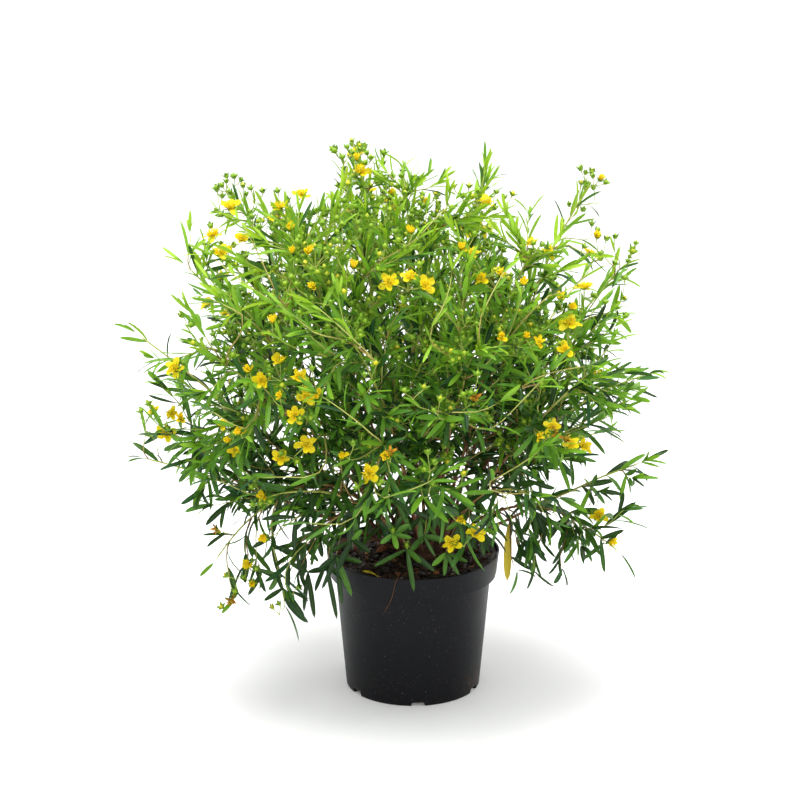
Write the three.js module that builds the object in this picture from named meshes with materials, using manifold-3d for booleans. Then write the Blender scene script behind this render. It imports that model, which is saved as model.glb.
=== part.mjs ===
import * as THREE from "three";
import { mergeVertices } from "three/addons/utils/BufferGeometryUtils.js";
import Module from "manifold-3d";

// A St John's wort shrub in flower, in its black plastic nursery pot.
// Millimetres, +Z up. The origin is the centre of the pot's flat underside, and the front faces -Y.

// Pot: a tapered body with a wider collar at the top and drainage notches round the foot
const POT_HEIGHT = 155;
const RIM_RADIUS = 95;
const COLLAR_FOOT_RADIUS = 92;
const BODY_TOP_RADIUS = 85.5;
const FOOT_RADIUS = 74;
const FOOT_CHAMFER = 1.5;
const LIP_CHAMFER = 0.6;
const COLLAR_HEIGHT = 26;
const POT_WALL = 1.8;
const POT_FLOOR = 2.5;
const POT_SIDES = 40;
const NOTCH_COUNT = 6;
const NOTCH_HEIGHT = 5.5;
const NOTCH_FOOT_WIDTH = 18;
const NOTCH_TOP_WIDTH = 12;
const NOTCH_DEPTH = 8;
const NOTCH_OVERRUN = 4;
const NOTCH_TURN = 4;

// Compost: fills the pot to just under the lip and is mounded round the crown
const COMPOST_LEVEL = 149;
const COMPOST_MOUND = 5;
const COMPOST_ROUGHNESS = 1.2;
const COMPOST_SIDES = 28;
const COMPOST_RINGS = 5;
const MOUND_RADIUS = 45;

// Root crown: the knobbly stump that every stem grows from
const CROWN_CENTRE = new THREE.Vector3(12, 5, 152);
const CROWN_SIZE = new THREE.Vector3(33, 29, 13);
const CROWN_KNOBS = 0.07;
const CROWN_SIDES = 14;
const CROWN_RINGS = 8;

// Gaps between neighbours that touch on the real plant
const GAP = 0.3;
const WALL_GAP = 0.6;
const LEAF_CLEARANCE = 0.5;

// Stems: [tip x, tip y, tip z, arch], where arch lifts the middle of the stem above a straight line
const STEMS = [
  [-75, 20, 582, 20],
  [-8, -75, 566, 20],
  [75, 5, 580, 20],
  [180, 20, 552, 30],
  [-190, 10, 546, 30],
  [-115, -125, 515, 25],
  [112, -120, 510, 25],
  [80, 140, 548, 25],
  [-60, 150, 560, 25],
  [-165, 120, 510, 25],
  [-242, -40, 488, 25],
  [-300, 10, 400, 5],
  [226, 20, 474, 25],
  [252, -20, 362, 40],
  [-62, -200, 445, 40],
  [62, -200, 440, 40],
  [-190, -160, 410, 20],
  [178, -150, 400, 20],
  [190, 150, 425, 30],
  [-215, 165, 415, 30],
  [10, 215, 450, 40],
  [-292, -50, 278, 10],
  [246, -40, 270, 5],
  [-150, -165, 272, 35],
  [118, -175, 278, 35],
  [215, 95, 262, 25],
  [-205, 110, 240, 30],
  [-215, -70, 165, 85],
  [222, -62, 172, 55],
];

// Each stem starts on one of two rings in the crown: evenly spaced, and pulled a little towards its tip
const SPREADING_REACH = 150;
const INNER_RING = 12;
const OUTER_RING = 24.5;
const TIP_PULL = 0.2;
const STEM_SIDES = 4;
const STEM_STEPS = 6;
const STEM_ROOT_RADIUS = 2.1;
const STEM_TIP_RADIUS = 0.9;
const ARCH_AT = 0.42;

// Side shoots: [place along the stem, length], set round the stem at the golden angle
const SIDE_SHOOTS = [
  [0.52, 88],
  [0.74, 66],
];
const SHOOT_LEAN = 42;
const SHOOT_LIFT = 0.12;
const SHOOT_SIDES = 3;
const SHOOT_STEPS = 2;
const SHOOT_ROOT_RADIUS = 1.2;
const SHOOT_TIP_RADIUS = 0.6;
const GOLDEN_ANGLE = 137.5;
const SHOOT_TURN_BY_STEM = 70;

// Leaves: in opposite pairs, longer and wider low on the plant
const STEM_LEAVES_AT = [0.62, 0.86];
const SHOOT_LEAVES_AT = [0.6];
const LEAF_LEAN = 46;
const LEAF_TURN_BY_STEM = 50;
const TIP_LEAF_LEAN = 16;
const TIP_LEAF_TURN = 40;
const TIP_LEAF_SHARE = 0.8;
const LOW_LEAF_LENGTH = 48;
const TOP_LEAF_LENGTH = 34;
const LEAF_SLENDERNESS = 6.5;
const LEAF_THICKNESS = 0.9;
const LEAF_ROOT = 1.5;
const LOW_HEIGHT = 200;
const TOP_HEIGHT = 580;

// Flower sprays: each spray is a list of heads, [x, y, z] of the centre and the way that it faces
const SPRAYS = [
  { name: "upper_left_top", heads: [[-193, -12, 541, -0.4, -0.5, 0.8]] },
  { name: "upper_left_pair", heads: [[-138, -76, 555, -0.2, -0.3, 0.9], [-116, -66, 566, 0.1, -0.3, 0.9]] },
  {
    name: "upper_left_cluster",
    heads: [[-208, -58, 522, -0.5, -0.5, 0.7], [-198, -92, 511, -0.4, -0.8, 0.5], [-176, -98, 526, 0.2, -0.8, 0.6]],
  },
  { name: "top_cup", heads: [[-55, -36, 584, 0, -0.9, 0.5]] },
  {
    name: "front_cluster",
    heads: [[-30, -184, 508, -0.2, -0.8, 0.6], [-4, -180, 514, 0, -0.6, 0.8], [14, -190, 498, 0.4, -0.8, 0.5]],
  },
  { name: "top_right_cup", heads: [[74, -80, 560, 0, -0.4, 0.9]] },
  {
    name: "right_of_centre_trio",
    heads: [[58, -152, 524, -0.2, -0.5, 0.8], [66, -168, 502, 0, -0.8, 0.5], [86, -160, 506, 0.5, -0.6, 0.6]],
  },
  { name: "upper_right_pair", heads: [[119, -112, 526, -0.2, -0.5, 0.8], [137, -104, 514, 0.3, -0.7, 0.6]] },
  { name: "right_edge_back", heads: [[174, -108, 477, 0.2, 0.5, 0.8]] },
  { name: "right_bright_pair", heads: [[157, -150, 452, 0, -0.7, 0.7], [152, -168, 428, 0, -0.9, 0.4]] },
  { name: "left_edge", heads: [[-245, -127, 398, -0.4, -0.8, 0.5]] },
  {
    name: "left_edge_trio",
    heads: [[-258, -98, 320, -0.2, -0.9, 0.3], [-251, -116, 346, 0.2, -0.8, 0.6], [-272, -86, 340, -0.6, -0.5, 0.6]],
  },
  {
    name: "front_left_trio",
    heads: [[-134, -205, 428, -0.2, -0.7, 0.7], [-114, -216, 414, 0.2, -0.8, 0.5], [-152, -200, 406, -0.2, -0.9, 0.3]],
  },
  { name: "front_left_lower_pair", heads: [[-108, -216, 393, 0.4, -0.8, 0.5], [-118, -222, 376, -0.2, -0.9, 0.2]] },
  {
    name: "lower_left_trio",
    heads: [[-194, -178, 354, -0.4, -0.8, 0.5], [-172, -190, 347, 0.2, -0.9, 0.4], [-182, -182, 328, 0, -0.9, -0.2]],
  },
  { name: "lower_front_pair", heads: [[-108, -216, 344, 0.3, -0.8, 0.5], [-134, -208, 328, -0.2, -0.9, 0.3]] },
  { name: "low_centre", heads: [[-46, -222, 316, 0, -1, 0.2]] },
  { name: "right_low_yellow", heads: [[139, -182, 352, 0, -0.8, 0.5]] },
  { name: "right_low_pair", heads: [[158, -164, 328, -0.2, -0.8, 0.5], [178, -148, 320, 0.5, -0.7, 0.4]] },
  { name: "far_right_low", heads: [[196, -82, 222, 0.2, -0.8, 0.5]] },
  { name: "over_the_rim_pair", heads: [[40, -146, 214, -0.4, -0.8, 0.4], [64, -142, 224, 0.3, -0.7, 0.6]] },
  { name: "drooping_left", heads: [[-176, -100, 174, -0.6, -0.7, 0.2]] },
  { name: "back_upper", heads: [[-30, 205, 500, -0.1, 0.7, 0.7], [-52, 196, 512, -0.4, 0.5, 0.8]] },
  { name: "back_right", heads: [[200, 165, 448, 0.6, 0.6, 0.5]] },
  { name: "back_left", heads: [[-232, 150, 392, -0.7, 0.6, 0.4], [-212, 172, 376, -0.3, 0.9, 0.3]] },
];
const SPRAY_DROP = 15;
const PETAL_COUNT = 5;
const COROLLA_RADIUS = 13.5;
const COROLLA_NOTCH = 0.48;
const COROLLA_RISE = 5;
const COROLLA_DISH = 3;
const STAMEN_HEIGHT = 8;
const STAMEN_RADIUS = 4;
const STAMEN_SIDES = 3;
const STAMEN_ROOT = 1;
const PEDICEL_RADIUS = 0.8;
const PEDICEL_SIDES = 3;
const PEDICEL_ROOT = 1;

// The shoot to a spray: it may leave a stem from LOWEST_FORK on, some way back from the nearest point
const NEAREST_FROM = 0.3;
const NEAREST_STEP = 0.05;
const LOWEST_FORK = 0.15;
const SPRAY_SHOOT_STEPS_BACK = [0.14, 0.22, 0.3, 0.08, 0.38, 0.46, 0.54];
const SPRAY_SHOOT_BEND = 0.45;
const SPRAY_GAP = 2.2;

// Loose and withered pieces
const FALLEN_LEAF = { centre: [-46, -78, 157.2], heading: 22, length: 22, width: 7 };
const DRY_TWIG = { from: [-62, 8], to: [-40, 38], radius: 0.9, lift: 2.6, arch: 1.5, sides: 5, steps: 4 };
const YELLOWED_LEAF = { stem: 22, at: 0.36, along: [0.02, -0.05, -1], facing: [1, 0.1, 0], length: 66, width: 9 };

const UP = new THREE.Vector3(0, 0, 1);
const STRAIGHT_BRANCH_SIDE = new THREE.Vector3(0.3, 1, 0.2);
const wasm = await Module();
wasm.setup();

const MATERIALS = {
  pot: new THREE.MeshStandardMaterial({ color: 0x25262a, roughness: 0.5, metalness: 0 }),
  compost: new THREE.MeshStandardMaterial({ color: 0x2b1a12, roughness: 1, metalness: 0 }),
  bark: new THREE.MeshStandardMaterial({ color: 0x6a3d24, roughness: 0.85, metalness: 0 }),
  foliage: new THREE.MeshStandardMaterial({ color: 0x4c8a26, roughness: 0.55, metalness: 0 }),
  petals: new THREE.MeshStandardMaterial({ color: 0xf6cf12, roughness: 0.5, metalness: 0 }),
  withered: new THREE.MeshStandardMaterial({ color: 0xa8932b, roughness: 0.8, metalness: 0 }),
};

function vector(list) {
  return new THREE.Vector3(...list);
}

function degrees(angle) {
  return THREE.MathUtils.degToRad(angle);
}

// Closed three.js geometry as a solid
function solidOf(geometry) {
  geometry.deleteAttribute("normal");
  geometry.deleteAttribute("uv");
  const merged = mergeVertices(geometry, 1e-4);
  const corners = merged.index.array;
  const kept = [];
  for (let i = 0; i < corners.length; i += 3) {
    const [a, b, c] = corners.slice(i, i + 3);
    if (a !== b && b !== c && c !== a) kept.push(a, b, c);
  }
  const vertProperties = merged.attributes.position.array;
  return new wasm.Manifold(new wasm.Mesh({ numProp: 3, vertProperties, triVerts: new Uint32Array(kept) }));
}

function joined(solids) {
  return solids.reduce((whole, piece) => whole.add(piece));
}

function meshOf(name, solid, material) {
  const faces = solid.getMesh();
  const geometry = new THREE.BufferGeometry();
  geometry.setAttribute("position", new THREE.BufferAttribute(new Float32Array(faces.vertProperties), 3));
  geometry.setIndex(new THREE.BufferAttribute(new Uint32Array(faces.triVerts), 1));
  geometry.computeVertexNormals();
  const mesh = new THREE.Mesh(geometry, material.clone());
  mesh.name = name;
  return mesh;
}

// A solid turned from [radius, height] points about the pot's axis
function turned(profile, sides) {
  const geometry = new THREE.LatheGeometry(profile.map(([r, z]) => new THREE.Vector2(r, z)), sides);
  return geometry.rotateX(Math.PI / 2);
}

// Pot and what fills it

function drainageNotch(index) {
  const shape = new THREE.Shape();
  shape.moveTo(-NOTCH_FOOT_WIDTH / 2, -NOTCH_OVERRUN);
  shape.lineTo(NOTCH_FOOT_WIDTH / 2, -NOTCH_OVERRUN);
  shape.lineTo(NOTCH_TOP_WIDTH / 2, NOTCH_HEIGHT);
  shape.lineTo(-NOTCH_TOP_WIDTH / 2, NOTCH_HEIGHT);
  const geometry = new THREE.ExtrudeGeometry(shape, { depth: NOTCH_DEPTH + NOTCH_OVERRUN, bevelEnabled: false });
  geometry.rotateX(Math.PI / 2);
  geometry.translate(0, -(FOOT_RADIUS - NOTCH_DEPTH), 0);
  geometry.rotateZ(degrees(NOTCH_TURN + (360 / NOTCH_COUNT) * index));
  return solidOf(geometry);
}

function potSolid() {
  const collarFoot = POT_HEIGHT - COLLAR_HEIGHT;
  const ledge = collarFoot + POT_WALL;
  const profile = [
    [0, 0],
    [FOOT_RADIUS - FOOT_CHAMFER, 0],
    [FOOT_RADIUS, FOOT_CHAMFER],
    [BODY_TOP_RADIUS, collarFoot],
    [COLLAR_FOOT_RADIUS, collarFoot],
    [RIM_RADIUS, POT_HEIGHT - LIP_CHAMFER],
    [RIM_RADIUS - LIP_CHAMFER, POT_HEIGHT],
    [RIM_RADIUS - POT_WALL, POT_HEIGHT],
    [COLLAR_FOOT_RADIUS - POT_WALL, ledge],
    [BODY_TOP_RADIUS - POT_WALL, ledge],
    [FOOT_RADIUS - POT_WALL, POT_FLOOR],
    [0, POT_FLOOR],
  ];
  let pot = solidOf(turned(profile, POT_SIDES));
  for (let i = 0; i < NOTCH_COUNT; i += 1) pot = pot.subtract(drainageNotch(i));
  return pot;
}

function compostHeight(x, y) {
  const away = Math.hypot(x - CROWN_CENTRE.x, y - CROWN_CENTRE.y) / MOUND_RADIUS;
  const waves = Math.sin(x * 0.11 + 1) * Math.cos(y * 0.13) + Math.sin(x * 0.07 - y * 0.09);
  return COMPOST_LEVEL + COMPOST_MOUND * Math.exp(-away * away) + COMPOST_ROUGHNESS * waves;
}

function compostSolid(crown) {
  const wall = POT_WALL + WALL_GAP;
  const bottom = POT_FLOOR + GAP;
  const ledge = POT_HEIGHT - COLLAR_HEIGHT + POT_WALL + GAP;
  const edge = COLLAR_FOOT_RADIUS - wall;
  const profile = [
    [0, bottom],
    [FOOT_RADIUS - wall, bottom],
    [BODY_TOP_RADIUS - wall, ledge],
    [edge, ledge],
  ];
  for (let ring = COMPOST_RINGS; ring >= 0; ring -= 1) {
    profile.push([(edge * ring) / COMPOST_RINGS, COMPOST_LEVEL]);
  }
  const geometry = turned(profile, COMPOST_SIDES);
  const place = geometry.attributes.position;
  for (let i = 0; i < place.count; i += 1) {
    if (place.getZ(i) > ledge + 1) place.setZ(i, compostHeight(place.getX(i), place.getY(i)));
  }
  return solidOf(geometry).subtract(crown);
}

function crownSolid(extra) {
  const geometry = new THREE.SphereGeometry(1, CROWN_SIDES, CROWN_RINGS);
  const place = geometry.attributes.position;
  const point = new THREE.Vector3();
  for (let i = 0; i < place.count; i += 1) {
    point.fromBufferAttribute(place, i);
    const knob = 1 + CROWN_KNOBS * Math.sin(4 * point.x + 1) * Math.sin(5 * point.y) * (1 + point.z);
    point.multiplyScalar(knob);
    place.setXYZ(i, point.x, point.y, point.z);
  }
  geometry.rotateX(Math.PI / 2);
  geometry.scale(CROWN_SIZE.x + extra, CROWN_SIZE.y + extra, CROWN_SIZE.z + extra);
  geometry.translate(CROWN_CENTRE.x, CROWN_CENTRE.y, CROWN_CENTRE.z);
  return solidOf(geometry);
}

// Stems, shoots and leaves

// A tapered round branch along a curve that lies in one plane
class Branch {
  constructor(points, rootRadius, tipRadius, sides, steps) {
    this.curve = new THREE.QuadraticBezierCurve3(...points);
    this.rootRadius = rootRadius;
    this.tipRadius = tipRadius;
    this.sides = sides;
    this.steps = steps;
    const chord = points[2].clone().sub(points[0]);
    this.side = points[1].clone().sub(points[0]).cross(chord);
    if (this.side.length() < 1e-3) this.side = chord.cross(STRAIGHT_BRANCH_SIDE);
    this.side.normalize();
  }

  point(t) {
    return this.curve.getPoint(t);
  }

  tangent(t) {
    return this.curve.getTangent(t);
  }

  solid(extra = 0) {
    const top = this.tipRadius + extra;
    const geometry = new THREE.CylinderGeometry(top, this.rootRadius + extra, 1, this.sides, this.steps);
    const place = geometry.attributes.position;
    for (let i = 0; i < place.count; i += 1) {
      const t = place.getY(i) + 0.5;
      const across = this.side.clone().cross(this.tangent(t));
      const moved = this.point(t).addScaledVector(this.side, place.getX(i)).addScaledVector(across, place.getZ(i));
      place.setXYZ(i, moved.x, moved.y, moved.z);
    }
    return solidOf(geometry);
  }
}

// A thin pointed blade, folded along its midrib, from its root along one direction
function bladeSolid(root, along, across, length, width, extra = 0) {
  const half = along.clone().cross(across).normalize().multiplyScalar(LEAF_THICKNESS / 2);
  const basis = new THREE.Matrix4().makeBasis(
    along.clone().multiplyScalar((length + extra) / Math.sqrt(8)),
    across.clone().multiplyScalar((width + extra) / Math.sqrt(8)),
    half.clone().multiplyScalar(1 + extra / LEAF_THICKNESS),
  );
  basis.setPosition(root.clone().addScaledVector(along, length / 2 - LEAF_ROOT).sub(half));
  const diamond = new THREE.TetrahedronGeometry(Math.sqrt(3)).rotateZ(-Math.PI / 4);
  return solidOf(diamond.applyMatrix4(basis));
}

function leafLengthAt(z) {
  return THREE.MathUtils.mapLinear(
    THREE.MathUtils.clamp(z, LOW_HEIGHT, TOP_HEIGHT),
    LOW_HEIGHT,
    TOP_HEIGHT,
    LOW_LEAF_LENGTH,
    TOP_LEAF_LENGTH,
  );
}

// A direction that leans off the branch by lean degrees, turned round it by turn degrees
function leaning(branch, t, lean, turn) {
  const tangent = branch.tangent(t);
  const out = branch.side.clone().applyAxisAngle(tangent, degrees(turn));
  return tangent.multiplyScalar(Math.cos(degrees(lean))).addScaledVector(out, Math.sin(degrees(lean)));
}

// Solids that other nodes must keep clear of, with the node that each belongs to
class Neighbours {
  constructor() {
    this.pieces = [];
  }

  add(owner, solid) {
    this.pieces.push({ owner, solid, box: solid.boundingBox() });
  }

  clear(owner, solid) {
    const box = solid.boundingBox();
    const apart = (other) => [0, 1, 2].some((k) => other.max[k] < box.min[k] || other.min[k] > box.max[k]);
    return this.pieces.every(
      (piece) => piece.owner === owner || apart(piece.box) || piece.solid.intersect(solid).isEmpty(),
    );
  }
}

function stemStart(tip, ring, ringTips) {
  const turn = (place) => Math.atan2(place.y - CROWN_CENTRE.y, place.x - CROWN_CENTRE.x);
  const rank = ringTips.map(turn).sort((a, b) => a - b).indexOf(turn(tip));
  const even = -Math.PI + ((rank + 0.5) / ringTips.length) * 2 * Math.PI;
  const angle = THREE.MathUtils.lerp(even, turn(tip), TIP_PULL);
  return CROWN_CENTRE.clone().add(new THREE.Vector3(ring * Math.cos(angle), ring * Math.sin(angle), 0));
}

function mainStems() {
  const tips = STEMS.map(([x, y, z]) => new THREE.Vector3(x, y, z));
  const spreading = (tip) => Math.hypot(tip.x - CROWN_CENTRE.x, tip.y - CROWN_CENTRE.y) > SPREADING_REACH;
  return STEMS.map(([, , , arch], index) => {
    const tip = tips[index];
    const ringTips = tips.filter((other) => spreading(other) === spreading(tip));
    const start = stemStart(tip, spreading(tip) ? OUTER_RING : INNER_RING, ringTips);
    const middle = start.clone().lerp(tip, ARCH_AT).addScaledVector(UP, 2 * arch);
    return new Branch([start, middle, tip], STEM_ROOT_RADIUS, STEM_TIP_RADIUS, STEM_SIDES, STEM_STEPS);
  });
}

function shootBetween(from, control, to) {
  return new Branch([from, control, to], SHOOT_ROOT_RADIUS, SHOOT_TIP_RADIUS, SHOOT_SIDES, SHOOT_STEPS);
}

function sideShoot(stem, t, length, turn) {
  const from = stem.point(t);
  const way = leaning(stem, t, SHOOT_LEAN, turn);
  const control = from.clone().addScaledVector(way, length / 2);
  const to = from.clone().addScaledVector(way, length).addScaledVector(UP, length * SHOOT_LIFT);
  return shootBetween(from, control, to);
}

// Pairs of opposite leaves along a branch, and one leaf that ends it
function leavesOn(branch, places, firstTurn) {
  const leaves = [];
  places.forEach((t, index) => {
    const root = branch.point(t);
    const length = leafLengthAt(root.z);
    for (const half of [0, 180]) {
      const turn = firstTurn + index * 90 + half;
      const along = leaning(branch, t, LEAF_LEAN, turn);
      leaves.push({ root, along, across: branch.tangent(t).cross(along).normalize(), length });
    }
  });
  const end = branch.point(1);
  const along = leaning(branch, 1, TIP_LEAF_LEAN, firstTurn + TIP_LEAF_TURN);
  const across = branch.tangent(1).cross(along).normalize();
  leaves.push({ root: end, along, across, length: leafLengthAt(end.z) * TIP_LEAF_SHARE });
  return leaves;
}

// Flower sprays

// Five petals flared into one shallow cup, with the brush of stamens in the middle
function headSolids(centre, facing) {
  const sides = 2 * PETAL_COUNT;
  const corolla = new THREE.CylinderGeometry(COROLLA_RADIUS, 0, COROLLA_RISE, sides);
  const place = corolla.attributes.position;
  for (let i = 0; i < place.count; i += 1) {
    const [x, y, z] = [place.getX(i), place.getY(i), place.getZ(i)];
    if (y < 0) continue;
    const side = Math.round((Math.atan2(x, z) / (2 * Math.PI)) * sides);
    const share = side % 2 === 0 ? 1 : COROLLA_NOTCH;
    const middle = Math.hypot(x, z) < 1e-6;
    place.setXYZ(i, x * share, middle ? y - COROLLA_DISH : y, z * share);
  }
  const stamens = new THREE.ConeGeometry(STAMEN_RADIUS, STAMEN_HEIGHT, STAMEN_SIDES).rotateX(Math.PI);
  stamens.translate(0, STAMEN_HEIGHT / 2 - STAMEN_ROOT, 0);
  const turn = new THREE.Quaternion().setFromUnitVectors(new THREE.Vector3(0, 1, 0), facing);
  const placed = new THREE.Matrix4().compose(centre, turn, new THREE.Vector3(1, 1, 1));
  return [solidOf(corolla.applyMatrix4(placed)), solidOf(stamens.applyMatrix4(placed))];
}

function sprayOf({ name, heads }) {
  const placed = heads.map((head) => ({
    centre: vector(head.slice(0, 3)),
    facing: vector(head.slice(3)).normalize(),
  }));
  const backs = placed.map(({ centre, facing }) => centre.clone().addScaledVector(facing, -COROLLA_RISE / 2));
  const fork = new THREE.Vector3();
  placed.forEach(({ facing }, index) => {
    fork.add(backs[index].clone().addScaledVector(facing, -SPRAY_DROP / 2).addScaledVector(UP, -SPRAY_DROP / 2));
  });
  fork.divideScalar(placed.length);
  const solids = [];
  placed.forEach(({ centre, facing }, index) => {
    const control = backs[index].clone().addScaledVector(facing, -SPRAY_DROP / 3);
    const root = backs[index].clone().addScaledVector(facing, PEDICEL_ROOT);
    const pedicel = new Branch([fork, control, root], PEDICEL_RADIUS, PEDICEL_RADIUS, PEDICEL_SIDES, 1);
    solids.push(...headSolids(centre, facing), pedicel.solid());
  });
  return { name, fork, solid: joined(solids) };
}

// The shoot that carries a spray: it leaves the nearest stem whose way to the fork is clear
function carryingShoot(spray, stems, neighbours) {
  const ways = [];
  stems.forEach((stem, index) => {
    for (let nearest = NEAREST_FROM; nearest <= 1; nearest += NEAREST_STEP) {
      ways.push({ index, nearest, distance: stem.point(nearest).distanceTo(spray.fork) });
    }
  });
  ways.sort((a, b) => a.distance - b.distance);
  for (const { index, nearest } of ways) {
    for (const back of SPRAY_SHOOT_STEPS_BACK) {
      const t = nearest - back;
      if (t < LOWEST_FORK) continue;
      const from = stems[index].point(t);
      const reach = from.distanceTo(spray.fork);
      const control = from.clone().addScaledVector(stems[index].tangent(t), reach * SPRAY_SHOOT_BEND);
      const end = spray.fork.clone().addScaledVector(spray.fork.clone().sub(control).normalize(), -SPRAY_GAP);
      const shoot = shootBetween(from, control, end);
      if (neighbours.clear(index, shoot.solid(LEAF_CLEARANCE))) return { index, shoot };
    }
  }
  throw new Error("no stem can carry the spray " + spray.name);
}

function plantSolids(crown) {
  const stems = mainStems();
  const stemSolids = stems.map((stem) => [stem.solid()]);
  const neighbours = new Neighbours();
  stems.forEach((stem, index) => {
    if (!neighbours.clear(index, stem.solid(GAP))) throw new Error("stem " + (index + 1) + " meets another");
    neighbours.add(index, stemSolids[index][0]);
  });
  const sprays = SPRAYS.map(sprayOf);
  for (const spray of sprays) {
    if (!neighbours.clear(spray.name, spray.solid)) throw new Error(spray.name + " meets a stem or a spray");
    neighbours.add(spray.name, spray.solid);
  }
  const branches = stems.map((stem, index) => {
    return [{ branch: stem, leavesAt: STEM_LEAVES_AT, turn: index * LEAF_TURN_BY_STEM }];
  });
  const grow = (index, solid) => {
    stemSolids[index].push(solid);
    neighbours.add(index, solid);
  };
  for (const spray of sprays) {
    const { index, shoot } = carryingShoot(spray, stems, neighbours);
    grow(index, shoot.solid());
  }
  stems.forEach((stem, index) => {
    SIDE_SHOOTS.forEach(([t, length], order) => {
      const turn = index * SHOOT_TURN_BY_STEM + order * GOLDEN_ANGLE;
      const shoot = sideShoot(stem, t, length, turn);
      if (!neighbours.clear(index, shoot.solid(LEAF_CLEARANCE))) return;
      grow(index, shoot.solid());
      branches[index].push({ branch: shoot, leavesAt: SHOOT_LEAVES_AT, turn });
    });
  });
  branches.forEach((list, index) => {
    for (const { branch, leavesAt, turn } of list) {
      for (const { root, along, across, length } of leavesOn(branch, leavesAt, turn)) {
        const width = length / LEAF_SLENDERNESS;
        if (!neighbours.clear(index, bladeSolid(root, along, across, length, width, 2 * LEAF_CLEARANCE))) continue;
        grow(index, bladeSolid(root, along, across, length, width));
      }
    }
  });
  return { stems, sprays, leafyStems: stemSolids.map((solids) => joined(solids).subtract(crown)) };
}

// Loose and withered pieces

function fallenLeaf() {
  const heading = degrees(FALLEN_LEAF.heading);
  const along = new THREE.Vector3(Math.cos(heading), -Math.sin(heading), 0);
  const across = UP.clone().cross(along);
  const root = vector(FALLEN_LEAF.centre).addScaledVector(along, -FALLEN_LEAF.length / 2);
  return bladeSolid(root, along, across, FALLEN_LEAF.length, FALLEN_LEAF.width);
}

function dryTwig() {
  const ends = [DRY_TWIG.from, DRY_TWIG.to].map(([x, y]) => {
    return new THREE.Vector3(x, y, compostHeight(x, y) + DRY_TWIG.lift);
  });
  const middle = ends[0].clone().lerp(ends[1], 0.5).addScaledVector(UP, DRY_TWIG.arch);
  const { radius, sides, steps } = DRY_TWIG;
  return new Branch([ends[0], middle, ends[1]], radius, radius, sides, steps).solid();
}

function yellowedLeaf(stems) {
  const stem = stems[YELLOWED_LEAF.stem];
  const root = stem.point(YELLOWED_LEAF.at).addScaledVector(UP, -STEM_ROOT_RADIUS - LEAF_ROOT - GAP);
  const along = vector(YELLOWED_LEAF.along).normalize();
  const across = vector(YELLOWED_LEAF.facing).cross(along).cross(along).normalize();
  return bladeSolid(root, along, across, YELLOWED_LEAF.length, YELLOWED_LEAF.width);
}

function number(index) {
  return String(index + 1).padStart(2, "0");
}

function pottedShrub() {
  const group = new THREE.Group();
  const crown = crownSolid(0);
  const crownRoom = crownSolid(GAP);
  const plant = plantSolids(crownRoom);
  group.add(meshOf("pot", potSolid(), MATERIALS.pot));
  group.add(meshOf("compost", compostSolid(crownRoom), MATERIALS.compost));
  group.add(meshOf("root_crown", crown, MATERIALS.bark));
  plant.leafyStems.forEach((solid, index) => {
    group.add(meshOf("leafy_stem_" + number(index), solid, MATERIALS.foliage));
  });
  for (const spray of plant.sprays) group.add(meshOf("flowers_" + spray.name, spray.solid, MATERIALS.petals));
  group.add(meshOf("fallen_leaf", fallenLeaf(), MATERIALS.withered));
  group.add(meshOf("dry_twig", dryTwig(), MATERIALS.bark));
  group.add(meshOf("yellowed_leaf", yellowedLeaf(plant.stems), MATERIALS.withered));
  return group;
}

export default pottedShrub();
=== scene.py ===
"""A St John's wort shrub in flower, in its black plastic nursery pot.

Everything is in metres with +Z up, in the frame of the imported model: the origin is the centre of the pot's
underside, and the front of the plant faces -Y. Lengths are written in millimetres and multiplied by MM.
"""
import logging
import math
from dataclasses import dataclass
from enum import Enum
from functools import cached_property

import bpy
import numpy as np
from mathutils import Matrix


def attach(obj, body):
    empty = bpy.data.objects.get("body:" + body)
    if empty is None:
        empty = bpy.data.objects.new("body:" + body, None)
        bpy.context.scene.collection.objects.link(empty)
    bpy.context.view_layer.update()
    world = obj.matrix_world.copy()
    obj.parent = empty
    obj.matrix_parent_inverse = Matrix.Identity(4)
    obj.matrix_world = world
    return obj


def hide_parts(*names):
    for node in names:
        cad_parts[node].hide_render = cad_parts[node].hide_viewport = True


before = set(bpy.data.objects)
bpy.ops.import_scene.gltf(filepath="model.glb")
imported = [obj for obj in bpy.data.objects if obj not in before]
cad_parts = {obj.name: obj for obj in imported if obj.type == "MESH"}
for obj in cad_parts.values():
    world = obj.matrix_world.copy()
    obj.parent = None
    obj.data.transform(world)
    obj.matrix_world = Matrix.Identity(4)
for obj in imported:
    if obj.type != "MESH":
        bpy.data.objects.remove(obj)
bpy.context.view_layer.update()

log = logging.getLogger("shrub")

MM = 0.001
UP = np.array([0.0, 0.0, 1.0])
SEED = 4
FULL_TURN = 2 * math.pi
GOLDEN_TURN = math.radians(137.5)
CROWN = np.array([12.0, 5.0, 152.0])
Pair = tuple[float, float]
Place = tuple[float, float, float]
Random = np.random.Generator


def unit(vector: np.ndarray) -> np.ndarray:
    """Returns vector, or each row of it, at length one."""
    return vector / np.maximum(np.linalg.norm(vector, axis=-1, keepdims=True), 1e-12)


def across(first: np.ndarray, second: np.ndarray) -> np.ndarray:
    """Returns the cross product of two vectors of three numbers."""
    (a, b, c), (d, e, f) = first, second
    return np.array([b * f - c * e, c * d - a * f, a * e - b * d])


def clamp(value: float, low: float = 0.0, high: float = 1.0) -> float:
    """Returns value, kept between low and high."""
    return min(max(value, low), high)


def share_of(value: float, low: float, high: float) -> float:
    """Returns how far value has come from low to high, from 0 to 1."""
    return clamp((value - low) / (high - low))


def blend(first: float, second: float, share: float) -> float:
    """Returns the number that lies share of the way from first to second."""
    return first + (second - first) * share


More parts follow.
